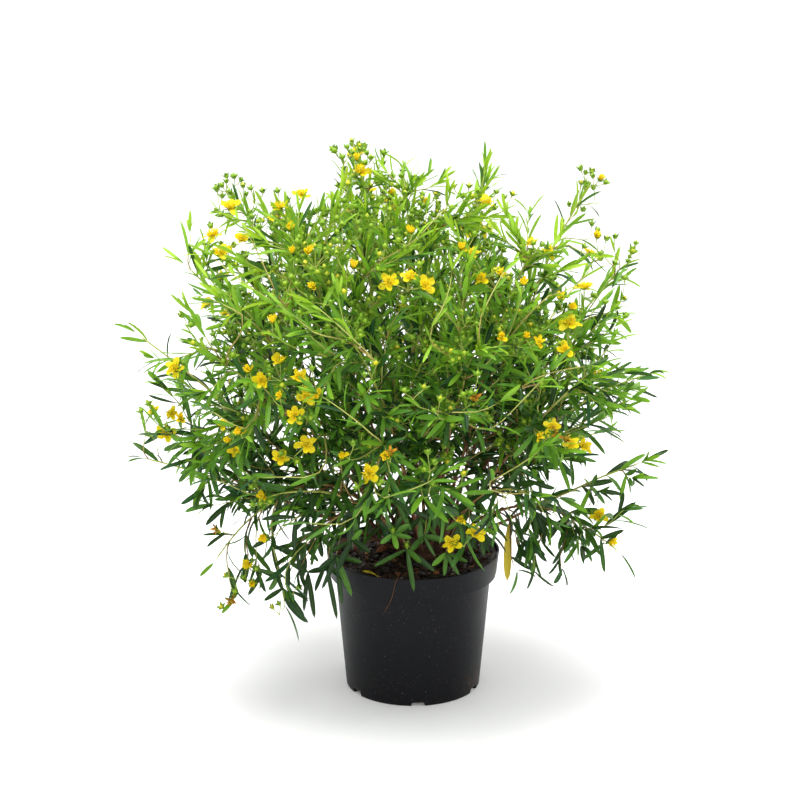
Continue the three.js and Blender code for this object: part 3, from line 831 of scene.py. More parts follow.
class Piece:
    """One object of the model, collected from blades, tubes and patches and then built as one mesh."""

    map_margin = 0.06

    def __init__(self, name: str, slot: str, finishes: tuple[Finish, ...], *nodes: str) -> None:
        """Starts an empty piece.

        Args:
            name: the object's name.
            slot: the record's material slot for it. It is kept but not used.
            finishes: the finishes that its faces use.
            nodes: the CAD nodes that it stands for.
        """
        self.name = name
        self.slot = slot
        self.finishes = finishes
        self.nodes = nodes
        self.blades: dict = {}
        self.tubes: dict = {}
        self.patches: list = []

    def blade(
        self,
        shape: BladeShape,
        finish: Finish,
        root: np.ndarray,
        along: np.ndarray,
        normal: np.ndarray,
        size: Pair,
        curl: tuple[float, ...] = (0.2, 0.2, 0.0, 0.0),
        tone: float = 0.5,
        age: float = 0.5,
    ) -> None:
        """Adds a leaf, petal or sepal.

        Args:
            shape: its outline.
            finish: its finish.
            root: where it is joined on.
            along: the way it points.
            normal: the way its upper face looks. It is made square to along.
            size: length and width.
            curl: bend away from the upper face, fold along the midrib and twist, in radians, and ripple.
            tone: a number from 0 to 1 that sets it apart from its neighbours.
            age: 0 for old and shaded, 1 for young and sunlit.
        """
        along = unit(along)
        square = unit(normal - along * (normal @ along))
        row = np.concatenate([root, along, square, size, curl])
        self.blades.setdefault((shape, finish), []).append((row, tone, age))

    def tube(
        self,
        path: np.ndarray,
        radii: np.ndarray,
        sides: int,
        finish: Finish,
        tone: float = 0.5,
        ages: Pair = (0.5, 0.5),
        pointed: tuple[bool, bool] = (False, True),
    ) -> None:
        """Adds a round branch, stalk or thread.

        Args:
            path: points along its middle.
            radii: its radius at each of them. At a pointed end the radius isn't used.
            sides: how many sides it has.
            finish: its finish.
            tone: a number from 0 to 1 that sets it apart from its neighbours.
            ages: its age mark at the first and the last point.
            pointed: whether its first and its last end close in a point.
        """
        key = (len(path) - 1, sides, finish, pointed)
        self.tubes.setdefault(key, []).append((path, radii, tone, ages))

    def patch(
        self, lattice: Lattice, points: np.ndarray, finish: Finish, tone: np.ndarray, ages: np.ndarray
    ) -> None:
        """Adds copies of a lattice.

        Args:
            lattice: the faces of one copy.
            points: the vertices by copy.
            finish: the finish of all of them.
            tone: the tone mark by copy.
            ages: the age mark of each vertex by copy.
        """
        self.patches.append((lattice, points, finish, tone, ages))

    def lay_blades(self) -> None:
        """Turns the blades into patches."""
        for (shape, finish), rows in self.blades.items():
            points = shape.points(np.array([row for row, _, _ in rows]))
            ages = np.repeat(np.array([age for _, _, age in rows])[:, None], points.shape[1], axis=1)
            self.patch(shape.lattice, points, finish, np.array([tone for _, tone, _ in rows]), ages)

    def lay_tubes(self) -> None:
        """Turns the tubes into patches."""
        for (rows, sides, finish, pointed), tubes in self.tubes.items():
            lattice = Lattice(rows, sides, True, *pointed)
            path = np.array([tube[0] for tube in tubes])
            radii = np.array([tube[1] for tube in tubes])
            ages = np.array([tube[3] for tube in tubes])
            tangent = unit(np.gradient(path, axis=1))
            chord = unit(path[:, -1] - path[:, 0])
            upright = np.abs(chord[:, 2:]) > 0.8
            guide = np.where(upright, np.array([[1.0, 0.2, 0.0]]), np.array([[0.1, 0.0, 1.0]]))
            side = unit(np.cross(tangent, guide[:, None]))
            other = np.cross(tangent, side)
            row = np.rint(lattice.places[:, 0] * rows).astype(int)
            turn = lattice.places[:, 1] * FULL_TURN
            open_end = np.ones(len(row))
            open_end[0] = 0.0 if pointed[0] else 1.0
            open_end[-1] = 0.0 if pointed[1] else 1.0
            wide = radii[:, row] * open_end
            ring = side[:, row] * np.cos(turn)[None, :, None] + other[:, row] * np.sin(turn)[None, :, None]
            points = path[:, row] + ring * wide[..., None]
            marks = ages[:, :1] + (ages[:, 1:] - ages[:, :1]) * lattice.places[None, :, 0]
            self.patch(lattice, points, finish, np.array([tube[2] for tube in tubes]), marks)

    def build(self) -> bpy.types.Object | None:
        """Makes the object, lets it ride on the root body and hides the CAD parts that it stands for.

        Returns:
            The object, or None if the piece is empty.
        """
        self.lay_blades()
        self.lay_tubes()
        if not self.patches:
            return None
        mesh = bpy.data.meshes.new(self.name)
        copies = sum(len(patch[1]) for patch in self.patches)
        cells = math.ceil(math.sqrt(copies))
        places, corners, sizes, finishes, maps = [], [], [], [], []
        marks: dict[str, list] = {"tone": [], "age": [], "along": [], "side": []}
        vertices, cell = 0, 0
        for lattice, points, finish, tone, ages in self.patches:
            count, width = points.shape[:2]
            face_corners, face_sizes, corner_marks = lattice.faces
            starts = vertices + np.arange(count)[:, None] * width
            places.append(points.reshape(-1, 3))
            corners.append((face_corners[None, :] + starts).ravel())
            sizes.append(np.tile(face_sizes, count))
            finishes.append(np.full(len(face_sizes) * count, self.finishes.index(finish)))
            number = cell + np.arange(count)
            origin = np.stack([number % cells, number // cells], axis=1)[:, None, :]
            inside = self.map_margin + (1 - 2 * self.map_margin) * corner_marks[None]
            maps.append(((origin + inside) / cells).reshape(-1, 2))
            marks["tone"].append(np.repeat(tone, width))
            marks["age"].append(ages.ravel())
            marks["along"].append(np.tile(lattice.places[:, 0], count))
            marks["side"].append(np.tile(lattice.places[:, 1], count))
            vertices += count * width
            cell += count
        self.fill(mesh, np.concatenate(places), np.concatenate(corners), np.concatenate(sizes))
        mesh.polygons.foreach_set("material_index", np.concatenate(finishes).astype(np.int32))
        flat = np.concatenate(maps).astype(np.float32).ravel()
        mesh.uv_layers.new(name="OFBake").data.foreach_set("uv", flat)
        for name, values in marks.items():
            attribute = mesh.attributes.new(name, "FLOAT", "POINT")
            attribute.data.foreach_set("value", np.concatenate(values).astype(np.float32))
        for finish in self.finishes:
            mesh.materials.append(finish.material)
        return self.place(mesh)

    @staticmethod
    def fill(mesh: bpy.types.Mesh, places: np.ndarray, corners: np.ndarray, sizes: np.ndarray) -> None:
        """Gives a mesh its vertices and faces.

        Args:
            mesh: the empty mesh.
            places: its vertices.
            corners: the vertex of each face corner.
            sizes: how many corners each face has.
        """
        mesh.vertices.add(len(places))
        mesh.vertices.foreach_set("co", places.astype(np.float32).ravel())
        mesh.loops.add(len(corners))
        mesh.loops.foreach_set("vertex_index", corners.astype(np.int32))
        mesh.polygons.add(len(sizes))
        mesh.polygons.foreach_set("loop_start", (np.cumsum(sizes) - sizes).astype(np.int32))
        mesh.update(calc_edges=True)
        mesh.polygons.foreach_set("use_smooth", np.ones(len(sizes), bool))

    def place(self, mesh: bpy.types.Mesh) -> bpy.types.Object:
        """Makes the object of a finished mesh and ties it to the frame.

        Args:
            mesh: the mesh.

        Returns:
            The object.
        """
        made = add_object(self.name, mesh)
        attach(made, "root")
        if self.nodes:
            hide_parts(*self.nodes)
        mesh.calc_loop_triangles()
        log.info("%s: %d triangles", self.name, len(mesh.loop_triangles))
        return made


# Pot and what fills it


def turned(profile: list[Pair], sides: int) -> tuple[Lattice, np.ndarray]:
    """Turns a profile about the pot's axis.

    Args:
        profile: radius and height of each point. The first and the last lie on the axis.
        sides: how many steps round.

    Returns:
        The faces, and the vertices as one copy.
    """
    lattice = Lattice(len(profile) - 1, sides, True, True, True)
    row = np.rint(lattice.places[:, 0] * lattice.rows).astype(int)
    turn = lattice.places[:, 1] * FULL_TURN
    table = np.array(profile)[row]
    points = np.stack([table[:, 0] * np.cos(turn), table[:, 0] * np.sin(turn), table[:, 1]], axis=1)
    return lattice, points[None]


def rounded(corner: Pair, before: Pair, after: Pair, radius: float, steps: int = 4) -> list[Pair]:
    """Returns the points of a profile's corner, rounded between its two neighbours.

    Args:
        corner: the sharp corner.
        before: the profile's point before it.
        after: the profile's point after it.
        radius: how far from the corner the round starts and ends.
        steps: how many steps it takes.

    Returns:
        The points of the round, in order.
    """
    middle, first, last = np.array(corner), np.array(before), np.array(after)
    first = middle + unit(first - middle) * radius
    last = middle + unit(last - middle) * radius
    found = []
    for step in range(steps + 1):
        t = step / steps
        point = (1 - t) ** 2 * first + 2 * t * (1 - t) * middle + t**2 * last
        found.append((float(point[0]), float(point[1])))
    return found


@dataclass(frozen=True)
class Pot:
    """The nursery pot: a tapered body, a wider collar, a rounded lip and drainage notches round the foot."""

    height: float = 155.0
    rim: float = 95.0
    collar_foot: float = 92.0
    collar_height: float = 26.0
    body_top: float = 85.5
    foot: float = 74.0
    wall: float = 1.8
    floor: float = 2.5
    ring_width: float = 6.0
    recess: float = 0.8
    sides: int = 200
    notch_count: int = 6
    notch_turn: float = 4.0
    notch_foot: float = 18.0
    notch_top: float = 12.0
    notch_height: float = 5.5
    notch_depth: float = 8.0
    notch_past: float = 6.0
    notch_below: float = 4.0
    oval: Pair = (0.45, 0.25)
    pinch_depth: float = 1.6
    pinch_turn: float = -0.12
    pinch_width: float = 0.07

    def profile(self) -> list[Pair]:
        """Returns the pot's section, from the middle of its underside round to the middle of its floor."""
        shoulder = self.height - self.collar_height
        ledge = shoulder + self.wall
        outline = [
            ((self.foot - self.ring_width, 0.0), 0.4),
            ((self.foot, 0.0), 1.4),
            ((self.body_top, shoulder), 1.0),
            ((self.collar_foot, shoulder), 1.1),
            ((self.rim, self.height), 0.85),
            ((self.rim - self.wall, self.height), 0.7),
            ((self.collar_foot - self.wall, ledge), 1.0),
            ((self.body_top - self.wall, ledge), 0.8),
            ((self.foot - self.wall, self.floor), 2.0),
        ]
        ends = [((0.0, self.recess), 0.0), *outline, ((0.0, self.floor), 0.0)]
        points = [(0.0, self.recess), (self.foot - self.ring_width - 2.0, self.recess)]
        for before, here, after in zip(ends, ends[1:], ends[2:]):
            points += rounded(here[0], before[0], after[0], here[1])
        points.append((0.0, self.floor))
        return self.filled(points)

    @staticmethod
    def filled(points: list[Pair], step: float = 9.0) -> list[Pair]:
        """Returns a profile in millimetres as metres, with points added so that none are over step apart.

        Args:
            points: the profile.
            step: the longest step, in millimetres.

        Returns:
            The profile in metres.
        """
        found = [points[0]]
        for start, end in zip(points, points[1:]):
            parts = max(1, math.ceil(math.dist(start, end) / step))
            for part in range(1, parts + 1):
                found.append(tuple(blend(*ends, part / parts) for ends in zip(start, end)))
        return [(radius * MM, height * MM) for radius, height in found]

    def notch(self, number: int) -> bpy.types.Object:
        """Makes the block that cuts one drainage notch.

        Args:
            number: which one, counted round the pot.

        Returns:
            The block.
        """
        outer, inner = self.foot + self.notch_past, self.foot - self.notch_depth
        low, high = -self.notch_below, self.notch_height
        places = [
            (side * half, -reach, height)
            for height, half in ((low, self.notch_foot / 2), (high, self.notch_top / 2))
            for side, reach in ((-1, outer), (1, outer), (1, inner), (-1, inner))
        ]
        faces = [(3, 2, 1, 0), (4, 5, 6, 7), (0, 1, 5, 4), (1, 2, 6, 5), (2, 3, 7, 6), (3, 0, 4, 7)]
        mesh = bpy.data.meshes.new("notch_cutter")
        mesh.from_pydata([[value * MM for value in place] for place in places], [], faces)
        cutter = add_object("notch_cutter", mesh)
        cutter.rotation_euler[2] = math.radians(self.notch_turn + 360.0 / self.notch_count * number)
        return cutter

    def dented(self, points: np.ndarray) -> np.ndarray:
        """Returns the vertices with small faults: a rim that isn't quite round and one pinched spot.

        Args:
            points: the vertices, as one copy.

        Returns:
            The moved vertices.
        """
        x, y, z = points[0].T
        turn = np.arctan2(y, x)
        high = np.clip(z / (self.height * MM), 0, 1) ** 3
        sway = self.oval[0] * MM * np.sin(2 * turn + 0.7) + self.oval[1] * MM * np.sin(5 * turn)
        pinch = -self.pinch_depth * MM * np.exp(-(((turn - self.pinch_turn) / self.pinch_width) ** 2)) * high
        outward = np.stack([np.cos(turn), np.sin(turn), np.zeros_like(turn)], axis=1)
        moved = points[0] + outward * ((sway + pinch) * high * (np.hypot(x, y) > 1e-6))[:, None]
        return moved[None]

    def build(self) -> None:
        """Makes the pot."""
        lattice, points = turned(self.profile(), self.sides)
        piece = Piece("nursery_pot", "pot", (POT_PLASTIC,), "pot")
        piece.patch(lattice, self.dented(points), POT_PLASTIC, np.zeros(1), np.zeros((1, points.shape[1])))
        made = piece.build()
        for number in range(self.notch_count):
            cutter = self.notch(number)
            cut = made.modifiers.new("notch", "BOOLEAN")
            cut.operation = "DIFFERENCE"
            cut.solver = "EXACT"
            cut.object = cutter
            self.apply(made, cut)
            bpy.data.objects.remove(cutter)

    @staticmethod
    def apply(made: bpy.types.Object, modifier: bpy.types.Modifier) -> None:
        """Applies one modifier."""
        with bpy.context.temp_override(object=made, active_object=made, selected_objects=[made]):
            bpy.ops.object.modifier_apply(modifier=modifier.name)


@dataclass(frozen=True)
class Compost:
    """The compost: a rough moist surface with bark chips, fibres, orange scraps and perlite."""

    level: float = 149.0
    mound: float = 5.0
    mound_reach: float = 45.0
    rise: float = 3.2
    rise_reach: float = 14.0
    edge: float = 91.8
    ledge_reach: float = 89.6
    ledge: float = 131.1
    bottom: float = 2.9
    foot_reach: float = 71.0
    shoulder_reach: float = 82.9
    wave_height: float = 1.2
    lump_height: float = 0.62
    lump_kinds: int = 24
    calm_edge: float = 4.0
    sides: int = 180
    rings: int = 64
    chip_count: int = 900
    perlite_count: int = 46
    perlite_sizes: Pair = (1.2, 3.0)
    fibre_count: int = 120
    fibre_lengths: Pair = (6.0, 18.0)
    fibre_radius: float = 0.28

    def height(self, x: np.ndarray, y: np.ndarray) -> np.ndarray:
        """Returns the height of the surface at x and y, all in millimetres.

        Args:
            x: places across.
            y: places along.

        Returns:
            The heights.
        """
        away = np.hypot(x - CROWN[0], y - CROWN[1]) / self.mound_reach
        waves = np.sin(x * 0.11 + 1) * np.cos(y * 0.13) + np.sin(x * 0.07 - y * 0.09)
        rise = self.rise * np.exp(-np.maximum(self.edge - np.hypot(x, y), 0) / self.rise_reach)
        return self.level + self.mound * np.exp(-away * away) + self.wave_height * waves + rise

    def roughness(self, x: np.ndarray, y: np.ndarray) -> np.ndarray:
        """Returns the small lumps of the surface at x and y, in millimetres.

        Args:
            x: places across.
            y: places along.

        Returns:
            The heights of the lumps.
        """
        lumps = np.zeros_like(x)
        for number in range(self.lump_kinds):
            angle = number * GOLDEN_TURN
            pitch = 0.35 + 0.11 * number
            across_waves = x * math.cos(angle) + y * math.sin(angle)
            lumps += np.sin(across_waves * pitch + number * 1.7) / (1 + 0.35 * number)
        return lumps * self.lump_height

    def build(self) -> None:
        """Makes the compost and all that lies in it."""
        tops = [(self.edge * ring / self.rings, self.level) for ring in range(self.rings, -1, -1)]
        walls = [
            (0.0, self.bottom), (self.foot_reach, self.bottom),
            (self.shoulder_reach, self.ledge), (self.ledge_reach, self.ledge),
        ]
        lattice, points = turned([(r * MM, z * MM) for r, z in walls + tops], self.sides)
        flat = points[0] / MM
        on_top = flat[:, 2] > self.ledge + 1
        x, y = flat[:, 0], flat[:, 1]
        inner = np.clip((self.edge - np.hypot(x, y)) / self.calm_edge, 0, 1)
        points[0, :, 2] = np.where(on_top, self.height(x, y) + self.roughness(x, y) * inner, flat[:, 2]) * MM
        piece = Piece("compost_surface", "compost", (COMPOST,), "compost")
        piece.patch(lattice, points, COMPOST, np.zeros(1), np.zeros((1, points.shape[1])))
        piece.build()
        self.build_chips()

    def spot(self, rng: Random, margin: float) -> tuple[float, float, float]:
        """Returns a random place on the surface, in millimetres, at least margin from the pot's wall.

        Args:
            rng: the source of chance.
            margin: how far from the wall it stays.

        Returns:
            The place.
        """
        reach = (self.edge - margin) * math.sqrt(rng.random())
        turn = rng.uniform(0, FULL_TURN)
        x, y = reach * math.cos(turn), reach * math.sin(turn)
        lump = float(self.roughness(np.array([x]), np.array([y]))[0])
        return x, y, float(self.height(x, y)) + lump

    def build_chips(self) -> None:
        """Scatters the bark chips, fibres and perlite over the surface."""
        rng = np.random.default_rng([SEED, 900])
        chips = Piece("bark_chips", "compost", (CHIP, PERLITE))
        for number in range(self.chip_count + self.perlite_count):
            pale = number >= self.chip_count
            size = rng.uniform(*self.perlite_sizes) if pale else rng.gamma(2.4, 1.1) + 1.4
            x, y, z = self.spot(rng, 3.0 + size)
            heading = rng.uniform(0, FULL_TURN)
            tilt = rng.normal(0, 0.3)
            flat = math.cos(tilt)
            way = np.array([math.cos(heading) * flat, math.sin(heading) * flat, math.sin(tilt)])
            stretch = 1.0 if pale else rng.uniform(1.0, 2.4)
            steps = np.array([-1.0, -0.6, 0.35, 1.0]) * size / 2 * stretch
            path = (np.array([x, y, z + size * 0.12]) + steps[:, None] * way) * MM
            path[1:3] += rng.normal(0, 0.12 * size, (2, 3)) * MM
            radii = np.array([0, rng.uniform(0.7, 1), rng.uniform(0.6, 1), 0]) * size / 2 * MM
            finish = PERLITE if pale else CHIP
            age = clamp(rng.beta(1.1, 2.4))
            chips.tube(path, radii, 5, finish, rng.random(), (age, age), (True, True))
        for _ in range(self.fibre_count):
            x, y, z = self.spot(rng, 8.0)
            heading = rng.uniform(0, FULL_TURN)
            length = rng.uniform(*self.fibre_lengths)
            steps = np.linspace(-0.5, 0.5, 5) * length
            way = np.array([math.cos(heading), math.sin(heading), 0.0])
            path = np.array([x, y, z + 0.8]) + steps[:, None] * way
            path += rng.normal(0, 0.5, (5, 3))
            age = rng.uniform(0.3, 0.9)
            radii = np.full(5, self.fibre_radius * MM)
            chips.tube(path * MM, radii, 3, CHIP, rng.random(), (age, age), (True, True))
        chips.build()


@dataclass(frozen=True)
class RootCrown:
    """The knobbly stump that every stem grows from, half under the compost."""

    size: Place = (33.0, 29.0, 13.0)
    rings: int = 40
    sides: int = 72

    def build(self) -> None:
        """Makes the crown."""
        steps = np.linspace(-math.pi / 2, math.pi / 2, self.rings)
        profile = [(float(np.cos(step)), float(np.sin(step))) for step in steps]
        profile[0], profile[-1] = (0.0, -1.0), (0.0, 1.0)
        lattice, points = turned(profile, self.sides)
        x, y, z = points[0].T
        knobs = 0.1 * np.sin(4 * x + 1) * np.sin(5 * y) * (1 + z)
        knobs += 0.05 * np.sin(17 * x + 3 * z) * np.sin(15 * y)
        ridges = 0.03 * np.sin(34 * np.arctan2(y, x) + 4 * z)
        swollen = points[0] * (1 + knobs + ridges)[:, None] * 0.97
        placed = (swollen * np.array(self.size) + CROWN) * MM
        piece = Piece("woody_crown", "bark", (BARK,), "root_crown")
        piece.patch(lattice, placed[None], BARK, np.full(1, 0.4), np.full((1, len(placed)), 0.12))
        piece.build()


# Flowers


class Stage(Enum):
    """How far a flower head has come."""

    BUD = "bud"
    HALF_OPEN = "half open"
    OPEN = "open"
    WITHERED = "withered"


@dataclass(frozen=True)
class Head:
    """One flower head: its middle, the way it faces, how far it has come and its size, 1 for a usual one."""

    centre: np.ndarray
    facing: np.ndarray
    stage: Stage
    scale: float = 1.0


@dataclass(frozen=True)
class StageLook:
    """What a head looks like at one stage. Shares are of the full sizes, and flares are in degrees."""

    petal: Finish
    petal_shares: Pair
    petal_flares: Pair
    petal_ages: Pair
    stamen: Finish
    stamen_count: int
    stamen_share: float
    stamen_spread: float
    sepal_flares: Pair
    sepal_age: float
    sizes: Pair | None = None


STAGE_LOOKS = {
    Stage.OPEN: StageLook(
        PETAL, (1.0, 1.0), (50, 84), (0, 0.12), STAMEN, 56, 1.0, 1.2, (70, 95), 0.4, (0.86, 1.05)
    ),
    Stage.HALF_OPEN: StageLook(
        PETAL, (0.72, 0.62), (16, 46), (0.25, 0.8), STAMEN, 14, 1.0, 0.5, (45, 65), 0.4
    ),
    Stage.WITHERED: StageLook(
        WITHERED, (0.66, 0.36), (30, 65), (0.2, 0.9), WITHERED, 14, 0.8, 0.7, (55, 80), 0.25
    ),
}


@dataclass(frozen=True)
class FlowerMaker:
    """Builds the heads: five petals over five pointed sepals, with a brush of stamens."""

    petal_length: float = 12.2
    petal_width: float = 7.8
    sepal_length: float = 6.8
    sepal_width: float = 3.8
    bud_height: float = 6.2
    bud_radius: float = 2.8
    bud_flares: Pair = (38.0, 62.0)
    stamen_length: float = 6.8
    pistil_length: float = 5.2
    parts: int = 5
    sepal_gap: float = 0.8
    petal_root: float = 0.9

    def round_axis(self, facing: np.ndarray, turn: float) -> np.ndarray:
        """Returns the way out from an axis, turned round it.

        Args:
            facing: the axis.
            turn: the turn, in radians.

        Returns:
            The direction.
        """
        guide = np.array([1.0, 0.0, 0.0]) if abs(facing[0]) < 0.8 else np.array([0.0, 1.0, 0.0])
        side = unit(across(facing, guide))
        return side * math.cos(turn) + across(facing, side) * math.sin(turn)

    def whorl(
        self,
        piece: Piece,
        shape: BladeShape,
        finish: Finish,
        head: Head,
        size: Pair,
        flare: float,
        age: float,
        rng: Random,
    ) -> None:
        """Adds five blades round a head.

        Args:
            piece: the piece that gets them.
            shape: the outline of each.
            finish: the finish of each.
            head: the head that they belong to.
            size: length and width in millimetres.
            flare: angle from the facing direction, in degrees.
            age: their age mark.
            rng: the source of chance.
        """
        first = rng.uniform(0, FULL_TURN)
        petals = shape is PETAL_BLADE
        for number in range(self.parts):
            turn = first + number * FULL_TURN / self.parts + rng.normal(0, 0.09)
            out = self.round_axis(head.facing, turn)
            angle = math.radians(flare + rng.normal(0, 13 if petals else 5))
            along = head.facing * math.cos(angle) + out * math.sin(angle)
            normal = head.facing * math.sin(angle) - out * math.cos(angle)
            scale = rng.uniform(0.88, 1.08)
            bend = rng.normal(0.1, 0.5) if petals else rng.normal(-0.3, 0.15)
            fold = rng.normal(0.12, 0.12) if petals else 0.3
            twist = rng.normal(0, 0.5) if petals else 0.0
            if head.stage is Stage.HALF_OPEN and petals:
                bend, fold = -0.5 + rng.normal(0, 0.4), rng.uniform(0.2, 0.7)
            if head.stage is Stage.WITHERED:
                bend, fold, twist = rng.normal(0, 0.9), rng.uniform(0.3, 0.9), rng.normal(0, 1.2)
            root = head.centre + out * self.petal_root * MM
            tip = (size[0] * MM * scale, size[1] * MM * rng.uniform(0.9, 1.08))
            curl = (bend, fold, twist, 0.16 if petals else 0.0)
            piece.blade(shape, finish, root, along, normal, tip, curl, rng.random(), age)

    def stamens(
        self, piece: Piece, head: Head, count: int, length: float, spread: float, finish: Finish, rng: Random
    ) -> None:
        """Adds a brush of stamens, each a thread with an anther at its end.

        Args:
            piece: the piece that gets them.
            head: the head that they belong to.
            count: how many.
            length: their length in millimetres.
            spread: the widest lean, in radians.
            finish: their finish.
            rng: the source of chance.
        """
        for number in range(count):
            lean = spread * math.sqrt((number + 0.5) / count)
            out = self.round_axis(head.facing, number * GOLDEN_TURN + rng.normal(0, 0.2))
            way = head.facing * math.cos(lean) + out * math.sin(lean)
            reach = length * rng.uniform(0.78, 1.1)
            steps = np.array([0.0, 0.6, 0.92, 1.05])
            path = head.centre + out * 0.8 * MM + way * (steps * reach * MM)[:, None]
            path += head.facing * (0.18 * reach * MM * steps**2)[:, None]
            piece.tube(path, np.array([0.16, 0.16, 0.66, 0.4]) * MM, 3, finish, rng.random(), (0.5, 0.5))

    def bud(self, piece: Piece, head: Head, scale: float, ripe: float, rng: Random) -> None:
        """Adds a bud: a small pointed egg held by five spreading sepals.

        Args:
            piece: the piece that gets it.
            head: where it is and how it faces.
            scale: its size, 1 for the usual one.
            ripe: 0 for green and 1 for about to open.
            rng: the source of chance.
        """
        steps = np.array([0.0, 0.3, 0.62, 1.0])
        path = head.centre + head.facing * (steps * self.bud_height * scale * MM)[:, None]
        radii = np.array([0.7, 1.0, 0.72, 0.0]) * self.bud_radius * scale * MM
        piece.tube(path, radii, 6, SEPAL, rng.random(), (0.55 + 0.2 * ripe, 0.72 + 0.28 * ripe))
        size = (self.sepal_length * scale, self.sepal_width * scale)
        flare = rng.uniform(*self.bud_flares)
        self.whorl(piece, SEPAL_BLADE, SEPAL, head, size, flare, rng.uniform(0.3, 0.6), rng)

    def head(self, piece: Piece, head: Head, rng: Random) -> None:
        """Adds a flower head at its stage.

        Args:
            piece: the piece that gets it.
            head: the head.
            rng: the source of chance.
        """
        if head.stage is Stage.BUD:
            self.bud(piece, head, rng.uniform(0.85, 1.15), rng.random() ** 2, rng)
            return
        look = STAGE_LOOKS[head.stage]
        scale = rng.uniform(*look.sizes) * head.scale if look.sizes else 1.0
        long, wide = look.petal_shares
        petals = (self.petal_length * long * scale, self.petal_width * wide * scale)
        flare = rng.uniform(*look.petal_flares)
        self.whorl(piece, PETAL_BLADE, look.petal, head, petals, flare, rng.uniform(*look.petal_ages), rng)
        length = self.stamen_length * look.stamen_share * scale
        self.stamens(piece, head, look.stamen_count, length, look.stamen_spread, look.stamen, rng)
        under = Head(head.centre - head.facing * self.sepal_gap * MM, head.facing, head.stage)
        sepals = (self.sepal_length, self.sepal_width)
        flare = rng.uniform(*look.sepal_flares)
        self.whorl(piece, SEPAL_BLADE, SEPAL, under, sepals, flare, look.sepal_age, rng)
        steps = np.array([0.0, 0.45, 0.8, 1.0])
        path = head.centre + head.facing * (steps * self.pistil_length * MM)[:, None]
        piece.tube(path, np.array([1.3, 1.15, 0.5, 0.0]) * MM, 5, SEPAL, 0.5, (0.8, 0.95))


FLOWERS = FlowerMaker()


# Branches


@dataclass(eq=False)
class Branch:
    """A stem, side branch or twig: points along it, its radii and its age mark at both ends."""

    points: np.ndarray
    root_radius: float
    tip_radius: float
    ages: Pair
    stem: int

    @cached_property
    def reaches(self) -> np.ndarray:
        """The length along the branch at each point."""
        return np.concatenate([[0.0], np.cumsum(np.linalg.norm(np.diff(self.points, axis=0), axis=1))])

    @property
    def length(self) -> float:
        """The whole length."""
        return float(self.reaches[-1])

    @cached_property
    def tangents(self) -> np.ndarray:
        """The way that the branch goes at each point."""
        return unit(np.gradient(self.points, axis=0))

    @cached_property
    def guide(self) -> np.ndarray:
        """A direction square to the branch as a whole, which the turns round it are counted from."""
        chord = unit(self.points[-1] - self.points[0])
        other = np.array([1.0, 0.3, 0.0]) if abs(chord[2]) > 0.8 else UP
        return unit(across(chord, other))

    def at(self, share: float) -> tuple[np.ndarray, np.ndarray]:
        """Returns the point and the direction at a share of the length.

        Args:
            share: the share, from 0 to 1.

        Returns:
            The point and the direction.
        """
        place = share * (len(self.points) - 1)
        low = min(int(place), len(self.points) - 2)
        rest = place - low
        point = self.points[low] * (1 - rest) + self.points[low + 1] * rest
        return point, unit(self.tangents[low] * (1 - rest) + self.tangents[low + 1] * rest)

    def leaning(self, share: float, lean: float, turn: float) -> np.ndarray:
        """Returns a direction that leans off the branch by lean, turned round it by turn, in radians.

        Args:
            share: how far along the branch.
            lean: the lean.
            turn: the turn.

        Returns:
            The direction.
        """
        _, tangent = self.at(share)
        side = unit(self.guide - tangent * (self.guide @ tangent))
        out = side * math.cos(turn) + across(tangent, side) * math.sin(turn)
        return tangent * math.cos(lean) + out * math.sin(lean)

    def resampled(self, count: int) -> np.ndarray:
        """Returns count points evenly spaced along the branch."""
        places = np.linspace(0, self.length, count)
        return np.stack([np.interp(places, self.reaches, self.points[:, axis]) for axis in range(3)], axis=1)


def bezier(points: list[np.ndarray], count: int) -> np.ndarray:
    """Returns count points along the curve of two or more control points.

    Args:
        points: the control points.
        count: how many points are wanted.

    Returns:
        The points, in order.
    """
    share = np.linspace(0, 1, count)[:, None]
    level = [np.repeat(np.array(point)[None], count, axis=0) for point in points]
    while len(level) > 1:
        level = [first * (1 - share) + second * share for first, second in zip(level, level[1:])]
    return level[0]


